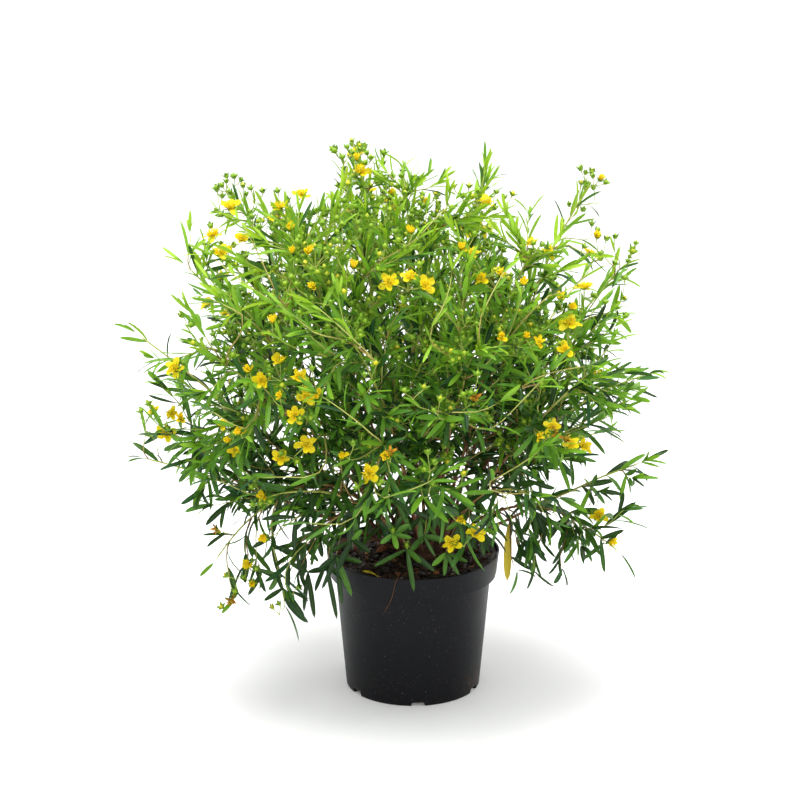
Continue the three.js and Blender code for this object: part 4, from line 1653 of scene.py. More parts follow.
@dataclass(frozen=True)
class StemPlan:
    """The main stems, each from its place in the crown, over an arch, to its tip."""

    tips: tuple[tuple[float, float, float, float], ...] = (
        (-75, 20, 582, 20), (-8, -75, 566, 20), (75, 5, 580, 20), (180, 20, 552, 30),
        (-190, 10, 546, 30), (-115, -125, 515, 25), (112, -120, 510, 25), (80, 140, 548, 25),
        (-60, 150, 560, 25), (-165, 120, 510, 25), (-242, -40, 488, 25), (-300, 10, 400, 5),
        (226, 20, 474, 25), (252, -20, 362, 40), (-62, -200, 445, 40), (62, -200, 440, 40),
        (-190, -160, 410, 20), (178, -150, 400, 20), (190, 150, 425, 30), (-215, 165, 415, 30),
        (10, 215, 450, 40), (-292, -50, 278, 10), (246, -40, 270, 5), (-150, -165, 272, 35),
        (118, -175, 278, 35), (215, 95, 262, 25), (-205, 110, 240, 30), (-215, -70, 165, 85),
        (222, -62, 172, 55),
    )
    spreading_reach: float = 150.0
    rings: Pair = (12.0, 24.5)
    tip_pull: float = 0.2
    arch_at: float = 0.42
    radii: Pair = (2.3, 0.75)
    steps: int = 40
    kink: float = 1.5
    kinks: float = 21.0
    ages: Pair = (0.08, 0.85)

    def start(self, tip: np.ndarray, tips: list[np.ndarray]) -> np.ndarray:
        """Returns where a stem leaves the crown, in millimetres.

        Args:
            tip: the stem's tip.
            tips: the tips of all stems.

        Returns:
            A place on one of two rings: evenly spaced, and pulled a little towards the tip.
        """
        def spreads(place: np.ndarray) -> bool:
            """Returns whether a stem to this tip leans out far from the crown."""
            return math.dist(place[:2], CROWN[:2]) > self.spreading_reach

        def turn(place: np.ndarray) -> float:
            """Returns the compass direction of a tip from the crown, in radians."""
            return math.atan2(place[1] - CROWN[1], place[0] - CROWN[0])

        others = sorted(turn(other) for other in tips if spreads(other) == spreads(tip))
        even = -math.pi + (others.index(turn(tip)) + 0.5) / len(others) * FULL_TURN
        angle = blend(even, turn(tip), self.tip_pull)
        ring = self.rings[1] if spreads(tip) else self.rings[0]
        return CROWN + ring * np.array([math.cos(angle), math.sin(angle), 0.0])

    def grow(self) -> list[Branch]:
        """Returns the main stems, in the order of their tips."""
        tips = [np.array(tip[:3], float) for tip in self.tips]
        stems = []
        for number, (tip, plan) in enumerate(zip(tips, self.tips)):
            start = self.start(tip, tips)
            middle = start * (1 - self.arch_at) + tip * self.arch_at + UP * 2 * plan[3]
            points = bezier([start, middle, tip], self.steps)
            sway = np.sin(np.linspace(0, 1, self.steps) * self.kinks + number)[:, None] * self.kink
            points += sway * np.array([math.cos(number), math.sin(number), 0.0])
            stems.append(Branch(points * MM, self.radii[0] * MM, self.radii[1] * MM, self.ages, number))
        return stems


@dataclass(frozen=True)
class LeafMaker:
    """Dresses a branch with leaves in opposite pairs, each pair at right angles to the one below it."""

    low: float = 190.0
    high: float = 560.0
    lengths: Pair = (41.0, 35.0)
    widths: Pair = (6.5, 4.0)
    leans: Pair = (50.0, 21.0)
    gaps: Pair = (15.0, 12.5)
    droop: float = 0.34
    inside: float = 0.62
    shown_leaf: tuple[float, float, float, float] = (498.0, 486.0, 514.0, 575.0)
    shown_depth: float = -35.0
    # Weights of the painted light in a leaf's age mark: by height, by nearness to the outside and by youth
    shine_least: float = 0.05
    shine_high: float = 0.47
    shine_outer: float = 0.13
    shine_young: float = 0.2
    shine_spread: float = 0.13
    old_from: float = 0.13
    old_drop: float = 0.64
    young_from: float = 0.58
    grown_from: float = 0.33
    small_below: float = 0.55
    thin_depths: Pair = (0.3, 0.74)
    thin_heights: Pair = (180.0, 420.0)
    young_reach: float = 48.0
    growing_reach: float = 26.0
    tuft_rows: tuple[Pair, ...] = ((0.78, 26.0), (0.58, 15.0), (0.36, 8.0))
    airy: tuple[tuple[float, ...], ...] = (
        (572.0, 165.0, 650.0, 300.0, 0.4), (185.0, 525.0, 262.0, 625.0, 0.42),
        (100.0, 425.0, 152.0, 480.0, 0.25), (150.0, 215.0, 200.0, 290.0, 0.3),
        (100.0, 300.0, 135.0, 380.0, 0.4), (595.0, 545.0, 650.0, 575.0, 0.3),
        (655.0, 350.0, 690.0, 400.0, 0.2), (250.0, 612.0, 300.0, 640.0, 0.0),
        (328.0, 150.0, 470.0, 215.0, 0.7), (600.0, 440.0, 665.0, 500.0, 0.7),
        (275.0, 225.0, 440.0, 300.0, 0.82), (265.0, 455.0, 350.0, 535.0, 0.66),
        (240.0, 165.0, 325.0, 222.0, 0.75), (120.0, 385.0, 172.0, 440.0, 0.7),
    )
    pot_reach: float = 99.0
    pot_top: float = 153.0
    ground: float = 40.0
    front: float = -246.0
    draw: float = 37.7

    def height_share(self, point: np.ndarray) -> float:
        """Returns 0 low on the plant and 1 at its top."""
        return share_of(point[2] / MM, self.low, self.high)

    def age(self, point: np.ndarray, youth: float, rng: Random) -> float:
        """Returns a leaf's age mark, with painted light in it: leaves high up and outside get a brighter
        colour and low, inner ones a darker one, painted shade; leaves near a shoot's tip are young and
        brighter too.

        Args:
            point: where the leaf grows.
            youth: how close it is to the tip of its shoot, from 0 to 1.
            rng: the source of chance.

        Returns:
            A number from 0 to 1.
        """
        outer = min(CANOPY.share(point), 1.1)
        high = self.height_share(point)
        # Painted light and shade: height and nearness to the canopy's surface brighten the leaf's colour.
        sunlit = (self.shine_outer * outer**2 + self.shine_young * youth**2) * blend(0.6, 1.0, high)
        shine = self.shine_least + self.shine_high * high + sunlit
        chance = rng.normal(0, self.shine_spread)
        return clamp(shine + chance - (self.old_drop if chance > self.old_from else 0.0))

    def clear(self, point: np.ndarray) -> bool:
        """Returns whether a point is neither inside the pot, close to the ground nor too far forward.

        Args:
            point: the point, in metres.

        Returns:
            Whether it is free.
        """
        x, y, z = point / MM
        in_pot = math.hypot(x, y) < self.pot_reach and z < self.pot_top
        return z > self.ground and y > self.front and not in_pot

    def hides(self, point: np.ndarray) -> bool:
        """Returns whether a point lies in front of the yellowed leaf, which shows whole in the photograph.

        Args:
            point: the point, in metres.

        Returns:
            Whether it is in the way.
        """
        x, y = VIEW.seen(point)
        left, top, right, bottom = self.shown_leaf
        return left < x < right and top < y < bottom and point[1] < self.shown_depth * MM

    def thinned(self, tip: np.ndarray) -> bool:
        """Returns whether a leaf that ends at tip is left out, where the photograph shows few leaves.

        Args:
            tip: the leaf's tip, in metres.

        Returns:
            Whether it is left out.
        """
        x, y = VIEW.seen(tip)
        chance = (abs(tip.sum()) / MM * self.draw) % 1
        return any(
            left < x < right and top < y < bottom and chance > kept
            for left, top, right, bottom, kept in self.airy
        )

    def leaf(
        self,
        piece: Piece,
        root: np.ndarray,
        along: np.ndarray,
        normal: np.ndarray,
        size: float,
        youth: float,
        rng: Random,
    ) -> None:
        """Adds one leaf, unless it would run into the pot or the ground.

        Args:
            piece: the piece that gets it.
            root: where it joins the shoot.
            along: the way it points.
            normal: the way its upper face looks.
            size: its size, 1 for a full-grown leaf.
            youth: how close it is to the tip of its shoot.
            rng: the source of chance.
        """
        high = self.height_share(root)
        length = blend(*self.lengths, high) * size * rng.uniform(0.84, 1.1) * MM
        width = blend(*self.widths, high) * size**0.8 * rng.uniform(0.85, 1.18) * MM
        tip = root + unit(along) * length
        if not self.clear(tip) or self.thinned(tip):
            return
        if any(self.hides(blend(root, tip, share)) for share in (0.2, 0.5, 0.8, 1.0)):
            return
        age = self.age(root, youth, rng)
        # The age mark carries painted light, so this picks a lit or a painted-shade copy of the leaf material
        # as well as one by age.
        full_finish = GROWN_LEAF if age > self.grown_from else SHADED_LEAF
        finish = YOUNG_LEAF if age > self.young_from else full_finish
        bend = rng.normal(0.28, 0.3) + 0.2 * (1 - high)
        curl = (bend, abs(rng.normal(0.3, 0.16)), rng.normal(0, 0.28), 0.05)
        inner = CANOPY.share(root) < self.inside
        shape = INNER_LEAF if inner else LEAF if size > self.small_below else SMALL_LEAF
        piece.blade(shape, finish, root, along, normal, (length, width), curl, rng.random(), age)

    def pair(
        self, piece: Piece, branch: Branch, share: float, turn: float, size: float, youth: float, rng: Random
    ) -> None:
        """Adds two leaves on opposite sides of a branch.

        Args:
            piece: the piece that gets them.
            branch: the branch.
            share: how far along it they grow.
            turn: how they are turned round it, in radians.
            size: their size, 1 for full-grown ones.
            youth: how close they are to the tip.
            rng: the source of chance.
        """
        point, tangent = branch.at(share)
        high = self.height_share(point)
        for side in (0.0, math.pi):
            lean = math.radians(blend(*self.leans, high) * blend(1.0, 0.62, youth) + rng.normal(0, 10))
            along = branch.leaning(share, lean, turn + side + rng.normal(0, 0.3))
            sag = self.droop * (1 - high) * (1 - 0.6 * youth) + abs(rng.normal(0, 0.12))
            along = unit(along - UP * sag)
            normal = tangent * 0.9 + UP * 0.5 + rng.normal(0, 0.4, 3)
            self.leaf(piece, point + along * 0.4 * MM, along, normal, size, youth, rng)

    def dress(self, piece: Piece, branch: Branch, rng: Random, bare: float = 0.08, thin: bool = True) -> None:
        """Adds leaf pairs along a branch, with smaller ones towards its tip.

        Args:
            piece: the piece that gets them.
            branch: the branch.
            rng: the source of chance.
            bare: the share at its root that has none.
            thin: whether leaves inside the canopy are fewer, as they are where little light comes in.
        """
        reach = branch.length * bare
        turn = rng.uniform(0, math.pi)
        while reach < branch.length - 1.5 * MM:
            share = reach / branch.length
            point, _ = branch.at(share)
            inner = CANOPY.share(point)
            keep = 1.0 if not thin else blend(0.2, 1.0, share_of(inner, *self.thin_depths))
            keep *= blend(0.72, 1.0, share_of(point[2] / MM, *self.thin_heights))
            left = (branch.length - reach) / MM
            youth = 1 - share_of(left, 0.0, self.young_reach)
            size = blend(0.48, 1.0, share_of(left, 0.0, self.growing_reach))
            size *= blend(0.8, 1.0, share_of(reach / MM, 0, 20))
            if rng.random() < keep:
                self.pair(piece, branch, share, turn, size, youth, rng)
            turn += math.pi / 2 + rng.normal(0, 0.12)
            gap = blend(*self.gaps, self.height_share(point)) * blend(1.0, 0.6, youth)
            reach += gap * rng.uniform(0.85, 1.15) * MM

    def tuft(self, piece: Piece, branch: Branch, rng: Random) -> None:
        """Ends a branch in a tuft of young leaves.

        Args:
            piece: the piece that gets them.
            branch: the branch.
            rng: the source of chance.
        """
        for step, (size, lean) in enumerate(self.tuft_rows):
            for side in (0.0, math.pi):
                turn = side + step * math.pi / 2 + rng.normal(0, 0.15)
                along = branch.leaning(1.0, math.radians(lean + rng.normal(0, 4)), turn)
                point, tangent = branch.at(1.0)
                self.leaf(piece, point, along, tangent + UP * 0.3 + rng.normal(0, 0.15, 3), size, 1.0, rng)


LEAVES = LeafMaker()


class Limb:
    """A main stem with all that grows on it, in three pieces: wood, leaves and blooms."""

    def __init__(self, stem: Branch) -> None:
        """Starts the three pieces of a stem.

        Args:
            stem: the main stem.
        """
        node = f"leafy_stem_{stem.stem + 1:02d}"
        name = f"stem_{stem.stem + 1:02d}"
        self.stem = stem
        self.branches = [stem]
        self.wood = Piece(f"{name}_wood", "bark", (BARK,), node)
        self.leaves = Piece(f"{name}_leaves", "foliage", (YOUNG_LEAF, GROWN_LEAF, SHADED_LEAF), node)
        self.blooms = Piece(f"{name}_blooms", "petals", (PETAL, SEPAL, STAMEN, WITHERED, BARK), node)

    def lay_wood(self, branch: Branch, rng: Random) -> None:
        """Adds the wood of a branch, with more sides and steps on a thicker one.

        Args:
            branch: the branch.
            rng: the source of chance.
        """
        thick = branch.root_radius > 1.6 * MM
        steps, sides = (26, 9) if thick else (9, 5) if branch.length > 40 * MM else (5, 4)
        path = branch.resampled(steps + 1)
        share = np.linspace(0, 1, steps + 1)
        radii = branch.root_radius + (branch.tip_radius - branch.root_radius) * share**0.8
        radii *= 1 + 0.05 * np.sin(share * steps * 2.1)
        self.wood.tube(path, radii, sides, BARK, rng.random(), branch.ages)

    def build(self) -> None:
        """Makes the pieces."""
        for piece in (self.wood, self.leaves, self.blooms):
            piece.build()


@dataclass(frozen=True)
class Growth:
    """Grows side branches and twigs on the main stems, and ends them in leaves or in buds."""

    first_fork: float = 0.24
    fork_gap: float = 25.0
    side_lengths: Pair = (128.0, 52.0)
    side_radii: Pair = (1.15, 0.45)
    side_chance: float = 0.72
    twig_gap: float = 34.0
    twig_lengths: Pair = (24.0, 46.0)
    twig_radii: Pair = (0.7, 0.4)
    step: float = 7.0
    rise_heights: Pair = (170.0, 430.0)
    rises: Pair = (-0.25, 0.75)
    bud_chance: float = 0.88
    unseen_depths: Pair = (20.0, 110.0)
    unseen_open: float = 0.2
    half_open_from: float = 0.972
    withered_from: float = 0.99
    side_leans: Pair = (28.0, 50.0)
    side_stalks: Pair = (8.0, 14.0)
    middle_stalks: Pair = (5.0, 9.0)
    edge: float = 0.82
    shortest: float = 20.0
    leafy_ends: tuple[Pair, ...] = ((486.0, 165.0), (125.0, 320.0), (167.0, 252.0), (652.0, 453.0))
    leafy_reach: float = 24.0

    def fork(
        self, parent: Branch, share: float, turn: float, length: float, radii: Pair, rng: Random
    ) -> Branch | None:
        """Grows a branch off another.

        Args:
            parent: the branch that it leaves.
            share: how far along the parent.
            turn: how it is turned round the parent, in radians.
            length: its length in metres.
            radii: its radius at the root and the tip, in millimetres.
            rng: the source of chance.

        Returns:
            The branch, cut off at the canopy's edge, or None where there is no room.
        """
        start, tangent = parent.at(share)
        high = share_of(start[2] / MM, *self.rise_heights)
        way = parent.leaning(share, math.radians(rng.normal(47, 8)), turn)
        rise = blend(*self.rises, high) + rng.normal(0, 0.18)
        end_way = unit(way * 0.8 + tangent * 0.35 + UP * rise)
        control = start + way * length * 0.45
        steps = max(5, int(length / (self.step * MM)))
        points = bezier([start, control, control + end_way * length * 0.6], steps)
        points[1:] += np.cumsum(rng.normal(0, 0.55, (steps - 1, 3)), axis=0) * MM
        room = self.edge + rng.normal(0, 0.05)
        kept = 1
        while kept < steps and CANOPY.share(points[kept]) < room and LEAVES.clear(points[kept] - UP * 6 * MM):
            kept += 1
        cut = points[:kept]
        if kept < 3 or np.linalg.norm(cut[-1] - cut[0]) < self.shortest * MM:
            return None
        old = clamp(0.3 + 0.35 * high + rng.normal(0, 0.06))
        return Branch(cut, radii[0] * MM, radii[1] * MM, (old, min(1.0, old + 0.35)), parent.stem)

    def grow(self, limb: Limb, rng: Random) -> None:
        """Grows everything that stands on one main stem.

        Args:
            limb: the stem and its pieces.
            rng: the source of chance.
        """
        stem = limb.stem
        limb.lay_wood(stem, rng)
        LEAVES.dress(limb.leaves, stem, rng, self.first_fork)
        self.end(limb, stem, rng)
        reach, turn = stem.length * self.first_fork, rng.uniform(0, math.pi)
        while reach < stem.length * 0.985:
            share = reach / stem.length
            for side in (0.0, math.pi):
                length = blend(*self.side_lengths, share) * rng.uniform(0.7, 1.15) * MM
                facing = turn + side + rng.normal(0, 0.3)
                branch = self.fork(stem, share, facing, length, self.side_radii, rng)
                if branch and rng.random() < self.side_chance:
                    self.grow_side(limb, branch, rng)
            turn += math.pi / 2 + rng.normal(0, 0.2)
            reach += self.fork_gap * rng.uniform(0.8, 1.25) * MM

    def grow_side(self, limb: Limb, branch: Branch, rng: Random) -> None:
        """Adds a side branch with its twigs, leaves and end.

        Args:
            limb: the stem that it stands on.
            branch: the side branch.
            rng: the source of chance.
        """
        limb.branches.append(branch)
        limb.lay_wood(branch, rng)
        LEAVES.dress(limb.leaves, branch, rng)
        self.end(limb, branch, rng)
        reach, side = branch.length * 0.3, rng.uniform(0, FULL_TURN)
        while reach < branch.length * 0.93:
            length = rng.uniform(*self.twig_lengths) * MM
            twig = self.fork(branch, reach / branch.length, side, length, self.twig_radii, rng)
            if twig:
                limb.lay_wood(twig, rng)
                LEAVES.dress(limb.leaves, twig, rng)
                self.end(limb, twig, rng)
            side += math.pi / 2 + math.pi * rng.integers(0, 2)
            reach += self.twig_gap * rng.uniform(0.7, 1.3) * MM

    def end(self, limb: Limb, branch: Branch, rng: Random) -> None:
        """Ends a branch: in buds where it is high and outside, or else in a tuft of leaves.

        Args:
            limb: the stem that it stands on.
            branch: the branch.
            rng: the source of chance.
        """
        tip, way = branch.at(1.0)
        high = LEAVES.height_share(tip)
        outer = CANOPY.share(tip)
        chance = share_of(high, 0.15, 0.7) * share_of(outer, 0.45, 0.75) * self.bud_chance
        leafy = any(math.dist(VIEW.seen(tip), place) < self.leafy_reach for place in self.leafy_ends)
        if rng.random() < chance and not leafy:
            self.cyme(limb.blooms, limb.leaves, tip, way, rng)
        else:
            LEAVES.tuft(limb.leaves, branch, rng)

    def stage(self, point: np.ndarray, rng: Random) -> Stage:
        """Returns the stage of a head: on the sides that the photograph doesn't show, some are open.

        Args:
            point: where the head is.
            rng: the source of chance.

        Returns:
            The stage.
        """
        unseen = share_of(point[1] / MM, *self.unseen_depths)
        chance = rng.random()
        if chance < self.unseen_open * unseen:
            return Stage.OPEN
        if chance > self.withered_from:
            return Stage.WITHERED
        return Stage.HALF_OPEN if chance > self.half_open_from else Stage.BUD

    def cyme(
        self, blooms: Piece, leaves: Piece, fork: np.ndarray, way: np.ndarray, rng: Random, deeper: int = 1
    ) -> None:
        """Adds a cluster of heads: one in the middle, and a stalk on each side that bears one or forks again.

        Args:
            blooms: the piece that gets the heads and stalks.
            leaves: the piece that gets the small leaves under the fork.
            fork: where the cluster starts.
            way: the way that it points.
            rng: the source of chance.
            deeper: how many more times it may fork.
        """
        way = unit(way + UP * 0.4)
        turn = rng.uniform(0, FULL_TURN)
        centre = fork + way * rng.uniform(*self.middle_stalks) * MM
        middle = Head(centre, unit(way + rng.normal(0, 0.25, 3)), self.stage(fork, rng))
        self.stalk(blooms, fork, middle, way)
        FLOWERS.head(blooms, middle, rng)
        for side in (0.0, math.pi):
            out = FLOWERS.round_axis(way, turn + side + rng.normal(0, 0.2))
            lean = math.radians(rng.uniform(*self.side_leans))
            side_way = way * math.cos(lean) + out * math.sin(lean)
            LEAVES.leaf(leaves, fork, unit(side_way + out * 0.2), way, rng.uniform(0.26, 0.4), 1.0, rng)
            length = rng.uniform(*self.side_stalks) * MM
            if deeper and rng.random() < 0.5:
                knot = fork + side_way * length
                self.stalk(blooms, fork, Head(knot, side_way, Stage.BUD), way)
                self.cyme(blooms, leaves, knot, side_way, rng, deeper - 1)
            else:
                head = Head(fork + side_way * length, unit(side_way + UP * 0.5), Stage.BUD)
                self.stalk(blooms, fork, head, side_way)
                FLOWERS.head(blooms, head, rng)

    @staticmethod
    def stalk(piece: Piece, fork: np.ndarray, head: Head, way: np.ndarray) -> None:
        """Adds the thin stalk from a fork to the back of a head.

        Args:
            piece: the piece that gets it.
            fork: where it starts.
            head: the head.
            way: the way that it leaves the fork.
        """
        length = np.linalg.norm(head.centre - fork)
        first, last = fork + way * length * 0.35, head.centre - head.facing * length * 0.3
        path = bezier([fork, first, last, head.centre], 5)
        radii = np.array([0.42, 0.38, 0.38, 0.45, 0.7]) * MM
        piece.tube(path, radii, 4, BARK, 0.5, (0.78, 0.95), (False, False))


GROWTH = Growth()


# What the photograph shows in its own place


SPRAYS: dict[str, tuple[tuple[float, ...], ...]] = {
    "upper_left_top": ((-193, -12, 541, -0.4, -0.5, 0.8),),
    "upper_left_pair": ((-138, -76, 555, -0.2, -0.3, 0.9), (-116, -66, 566, 0.1, -0.3, 0.9)),
    "upper_left_cluster": (
        (-208, -58, 522, -0.5, -0.5, 0.7), (-198, -92, 511, -0.4, -0.8, 0.5),
        (-176, -98, 526, 0.2, -0.8, 0.6),
    ),
    "top_cup": ((-55, -36, 584, 0, -0.9, 0.5),),
    "front_cluster": (
        (-25, -184, 503, -0.2, -0.8, 0.5, 0.9), (-4, -180, 507, 0, -0.5, 0.8, 0.9),
        (10, -188, 500, 0.5, -0.7, 0.5, 0.9),
    ),
    "top_right_cup": ((74, -80, 560, 0, -0.4, 0.9),),
    "right_of_centre_trio": (
        (58, -152, 524, -0.2, -0.5, 0.8, 0.8), (66, -168, 502, 0, -0.8, 0.5, 0.9),
        (86, -160, 506, 0.5, -0.6, 0.6, 0.7),
    ),
    "upper_right_pair": ((119, -112, 526, -0.2, -0.5, 0.8, 0.7), (137, -104, 514, 0.3, -0.7, 0.6, 0.7)),
    "right_edge_back": ((174, -108, 477, 0.2, 0.5, 0.8),),
    "right_bright_pair": ((157, -150, 452, 0, -0.7, 0.7), (152, -168, 428, 0, -0.9, 0.4)),
    "left_edge": ((-245, -127, 398, -0.4, -0.8, 0.5),),
    "left_edge_trio": (
        (-258, -98, 320, -0.2, -0.9, 0.3), (-251, -116, 346, 0.2, -0.8, 0.6, 0.7),
        (-272, -86, 340, -0.6, -0.5, 0.6, 0.6),
    ),
    "front_left_trio": (
        (-134, -205, 428, -0.2, -0.7, 0.7, 0.88), (-114, -216, 414, 0.2, -0.8, 0.5, 0.92),
        (-152, -200, 406, -0.2, -0.9, 0.3, 0.88),
    ),
    "front_left_lower_pair": (
        (-108, -216, 393, 0.4, -0.8, 0.5, 0.88), (-118, -222, 376, -0.2, -0.9, 0.2, 0.85),
    ),
    "lower_left_trio": (
        (-194, -178, 354, -0.4, -0.5, 0.8, 0.7), (-172, -190, 347, 0.2, -0.6, 0.8, 0.75),
        (-182, -182, 328, 0, -0.9, -0.2, 0.6),
    ),
    "lower_front_pair": ((-108, -216, 344, 0.3, -0.8, 0.5, 0.9), (-134, -208, 328, -0.2, -0.9, 0.3, 0.9)),
    "low_centre": ((-46, -222, 316, 0, -1, 0.2),),
    "right_low_yellow": ((139, -182, 352, 0, -0.8, 0.5, 0.8),),
    "right_low_pair": ((160, -164, 328, -0.2, -0.8, 0.5, 0.8), (174, -148, 321, 0.5, -0.7, 0.4, 0.8)),
    "far_right_low": ((196, -82, 222, 0.2, -0.8, 0.5),),
    "over_the_rim_pair": ((40, -146, 214, -0.4, -0.8, 0.4), (64, -142, 224, 0.3, -0.7, 0.6)),
    "drooping_left": ((-176, -100, 174, -0.6, -0.7, 0.2, 0.6),),
    "back_upper": ((-30, 205, 500, -0.1, 0.7, 0.7), (-52, 196, 512, -0.4, 0.5, 0.8)),
    "back_right": ((200, 165, 448, 0.6, 0.6, 0.5),),
    "back_left": ((-232, 150, 392, -0.7, 0.6, 0.4), (-212, 172, 376, -0.3, 0.9, 0.3)),
}

# Other heads that stand out in the photograph, by the pixel of their middle
SEEN_HEADS: dict[Stage, tuple[Pair, ...]] = {
    Stage.HALF_OPEN: (
        (411, 233), (610, 541), (240, 432), (357, 161), (290, 230), (353, 268), (272, 323), (249, 371),
        (280, 397), (319, 398), (181, 419), (229, 442), (343, 458), (386, 460), (461, 249), (501, 338),
        (523, 284), (559, 299), (571, 308), (538, 436), (461, 519), (265, 536), (249, 562), (253, 583),
        (308, 253), (525, 337), (539, 343), (597, 238), (292, 253), (313, 288),
    ),
    Stage.WITHERED: ((474, 399), (231, 599), (555, 434), (217, 528), (566, 441), (391, 458)),
    Stage.BUD: (
        (347, 145), (360, 148), (354, 152), (343, 155), (367, 151), (371, 156), (384, 151), (383, 161),
        (365, 161), (402, 169), (415, 175), (405, 191), (390, 209), (217, 188), (222, 194), (243, 184),
        (251, 186), (246, 192), (263, 189), (278, 189), (217, 209), (252, 215), (211, 224), (205, 242),
        (260, 225), (312, 296), (183, 313), (191, 323), (193, 341), (214, 331), (149, 402), (142, 409),
        (151, 432), (312, 366), (454, 184), (469, 184), (478, 190), (496, 190), (504, 195), (512, 192),
        (568, 202), (419, 263), (376, 361), (364, 375), (581, 181), (586, 186), (594, 186), (583, 208),
        (592, 222), (597, 228), (606, 237), (615, 235), (583, 244), (601, 251), (614, 261), (628, 259),
        (625, 276), (623, 296), (605, 300), (616, 305), (624, 314), (478, 372), (464, 392), (470, 391),
        (404, 389), (424, 389), (440, 399), (435, 413), (428, 452), (436, 462), (424, 468), (463, 472),
        (431, 483), (353, 447), (358, 485), (228, 573), (242, 575), (237, 588), (222, 604), (273, 605),
        (280, 601), (297, 584), (305, 262), (318, 270), (296, 282), (327, 252), (338, 240), (345, 290),
        (330, 300), (300, 310), (344, 166), (402, 174), (344, 198), (335, 203), (356, 204), (361, 209),
        (381, 198), (385, 206), (367, 215), (358, 221), (370, 224), (361, 229), (342, 223), (338, 230),
        (391, 212), (396, 229), (399, 238), (404, 246), (417, 221), (350, 241), (333, 238), (385, 244),
        (379, 252), (336, 249), (348, 255), (419, 246), (474, 232), (465, 240), (462, 194), (472, 195),
        (250, 210), (317, 208), (325, 213), (328, 208), (337, 216), (340, 204), (322, 222), (297, 240),
        (306, 243), (315, 244), (303, 254), (296, 259), (311, 268), (325, 248), (331, 243), (337, 252),
        (325, 265), (291, 276), (285, 282), (343, 176), (348, 182),
    ),
}

# Shoots that reach out of the outline or fill it out, by the pixels of their root and tip
SEEN_SHOOTS: tuple[tuple[Pair, Pair], ...] = (
    ((190, 400), (154, 358)), ((192, 398), (160, 384)), ((225, 285), (206, 258)),
    ((230, 300), (208, 278)), ((205, 330), (190, 312)), ((215, 470), (184, 462)),
    ((225, 500), (202, 490)), ((590, 415), (628, 390)), ((590, 430), (622, 410)),
    ((600, 492), (632, 478)), ((560, 506), (598, 491)), ((560, 535), (592, 528)),
    ((540, 550), (582, 546)), ((425, 480), (386, 498)), ((565, 262), (560, 238)),
    ((590, 310), (612, 288)), ((345, 215), (342, 190)), ((478, 215), (486, 184)),
    ((425, 220), (413, 186)), ((395, 210), (385, 180)), ((300, 235), (299, 212)),
    ((520, 240), (529, 216)), ((455, 225), (449, 194)), ((335, 250), (318, 214)),
    ((352, 245), (333, 208)), ((262, 300), (236, 256)), ((288, 300), (262, 240)),
    ((300, 285), (292, 236)), ((250, 340), (222, 300)), ((440, 290), (430, 240)),
    ((470, 280), (455, 232)), ((415, 260), (398, 205)), ((500, 262), (507, 216)),
    ((240, 420), (204, 392)), ((245, 470), (204, 446)), ((250, 500), (214, 505)),
    ((480, 330), (468, 268)), ((545, 290), (556, 250)), ((585, 345), (610, 314)),
    ((430, 210), (428, 176)), ((400, 205), (404, 168)), ((382, 195), (383, 165)),
    ((442, 210), (438, 182)), ((540, 295), (562, 270)), ((580, 365), (610, 345)),
    ((585, 390), (614, 372)), ((575, 405), (602, 404)), ((235, 440), (198, 438)),
    ((240, 458), (202, 464)), ((245, 478), (212, 480)), ((530, 480), (560, 498)),
    ((520, 498), (548, 518)), ((540, 500), (578, 512)), ((510, 515), (530, 540)),
    ((550, 518), (575, 535)), ((498, 498), (513, 524)), ((480, 505), (500, 530)),
    ((470, 490), (492, 515)), ((560, 385), (598, 378)), ((570, 395), (612, 392)),
    ((585, 408), (630, 400)), ((590, 382), (626, 374)), ((495, 275), (498, 232)),
    ((510, 272), (516, 236)), ((600, 525), (626, 509)), ((205, 255), (190, 232)),
    ((338, 335), (338, 296)), ((372, 250), (366, 212)),
)

# Thin twigs below the outline, with few leaves, by the pixels of their root and tip
SEEN_TWIGS: tuple[tuple[Pair, Pair], ...] = (
    ((262, 545), (246, 572)), ((285, 550), (276, 572)), ((305, 552), (298, 572)), ((500, 560), (518, 572)),
    ((530, 556), (534, 572)), ((548, 552), (562, 570)), ((500, 530), (520, 546)),
)

# Stems that show in front of the leaves, by the pixels that they pass
SEEN_STEMS: tuple[tuple[Pair, ...], ...] = (
    ((281, 304), (254, 245), (239, 220)), ((279, 304), (250, 287), (210, 255)),
    ((375, 360), (338, 325), (313, 304)), ((311, 331), (286, 310), (270, 303)),
    ((242, 314), (222, 304), (203, 296)), ((240, 430), (212, 411), (183, 390)),
    ((365, 428), (342, 410), (318, 394)), ((548, 296), (579, 283), (592, 260)),
    ((481, 316), (502, 275), (514, 260)), ((420, 236), (438, 216), (456, 199)),
    ((525, 385), (550, 373), (590, 366)), ((495, 428), (525, 398), (550, 371)),
    ((380, 499), (418, 487), (440, 475)), ((489, 482), (518, 466), (545, 447)),
    ((310, 478), (285, 477), (256, 478)), ((346, 524), (318, 524), (290, 521)),
    ((460, 412), (480, 411), (500, 402)), ((430, 330), (446, 300), (452, 270)),
)

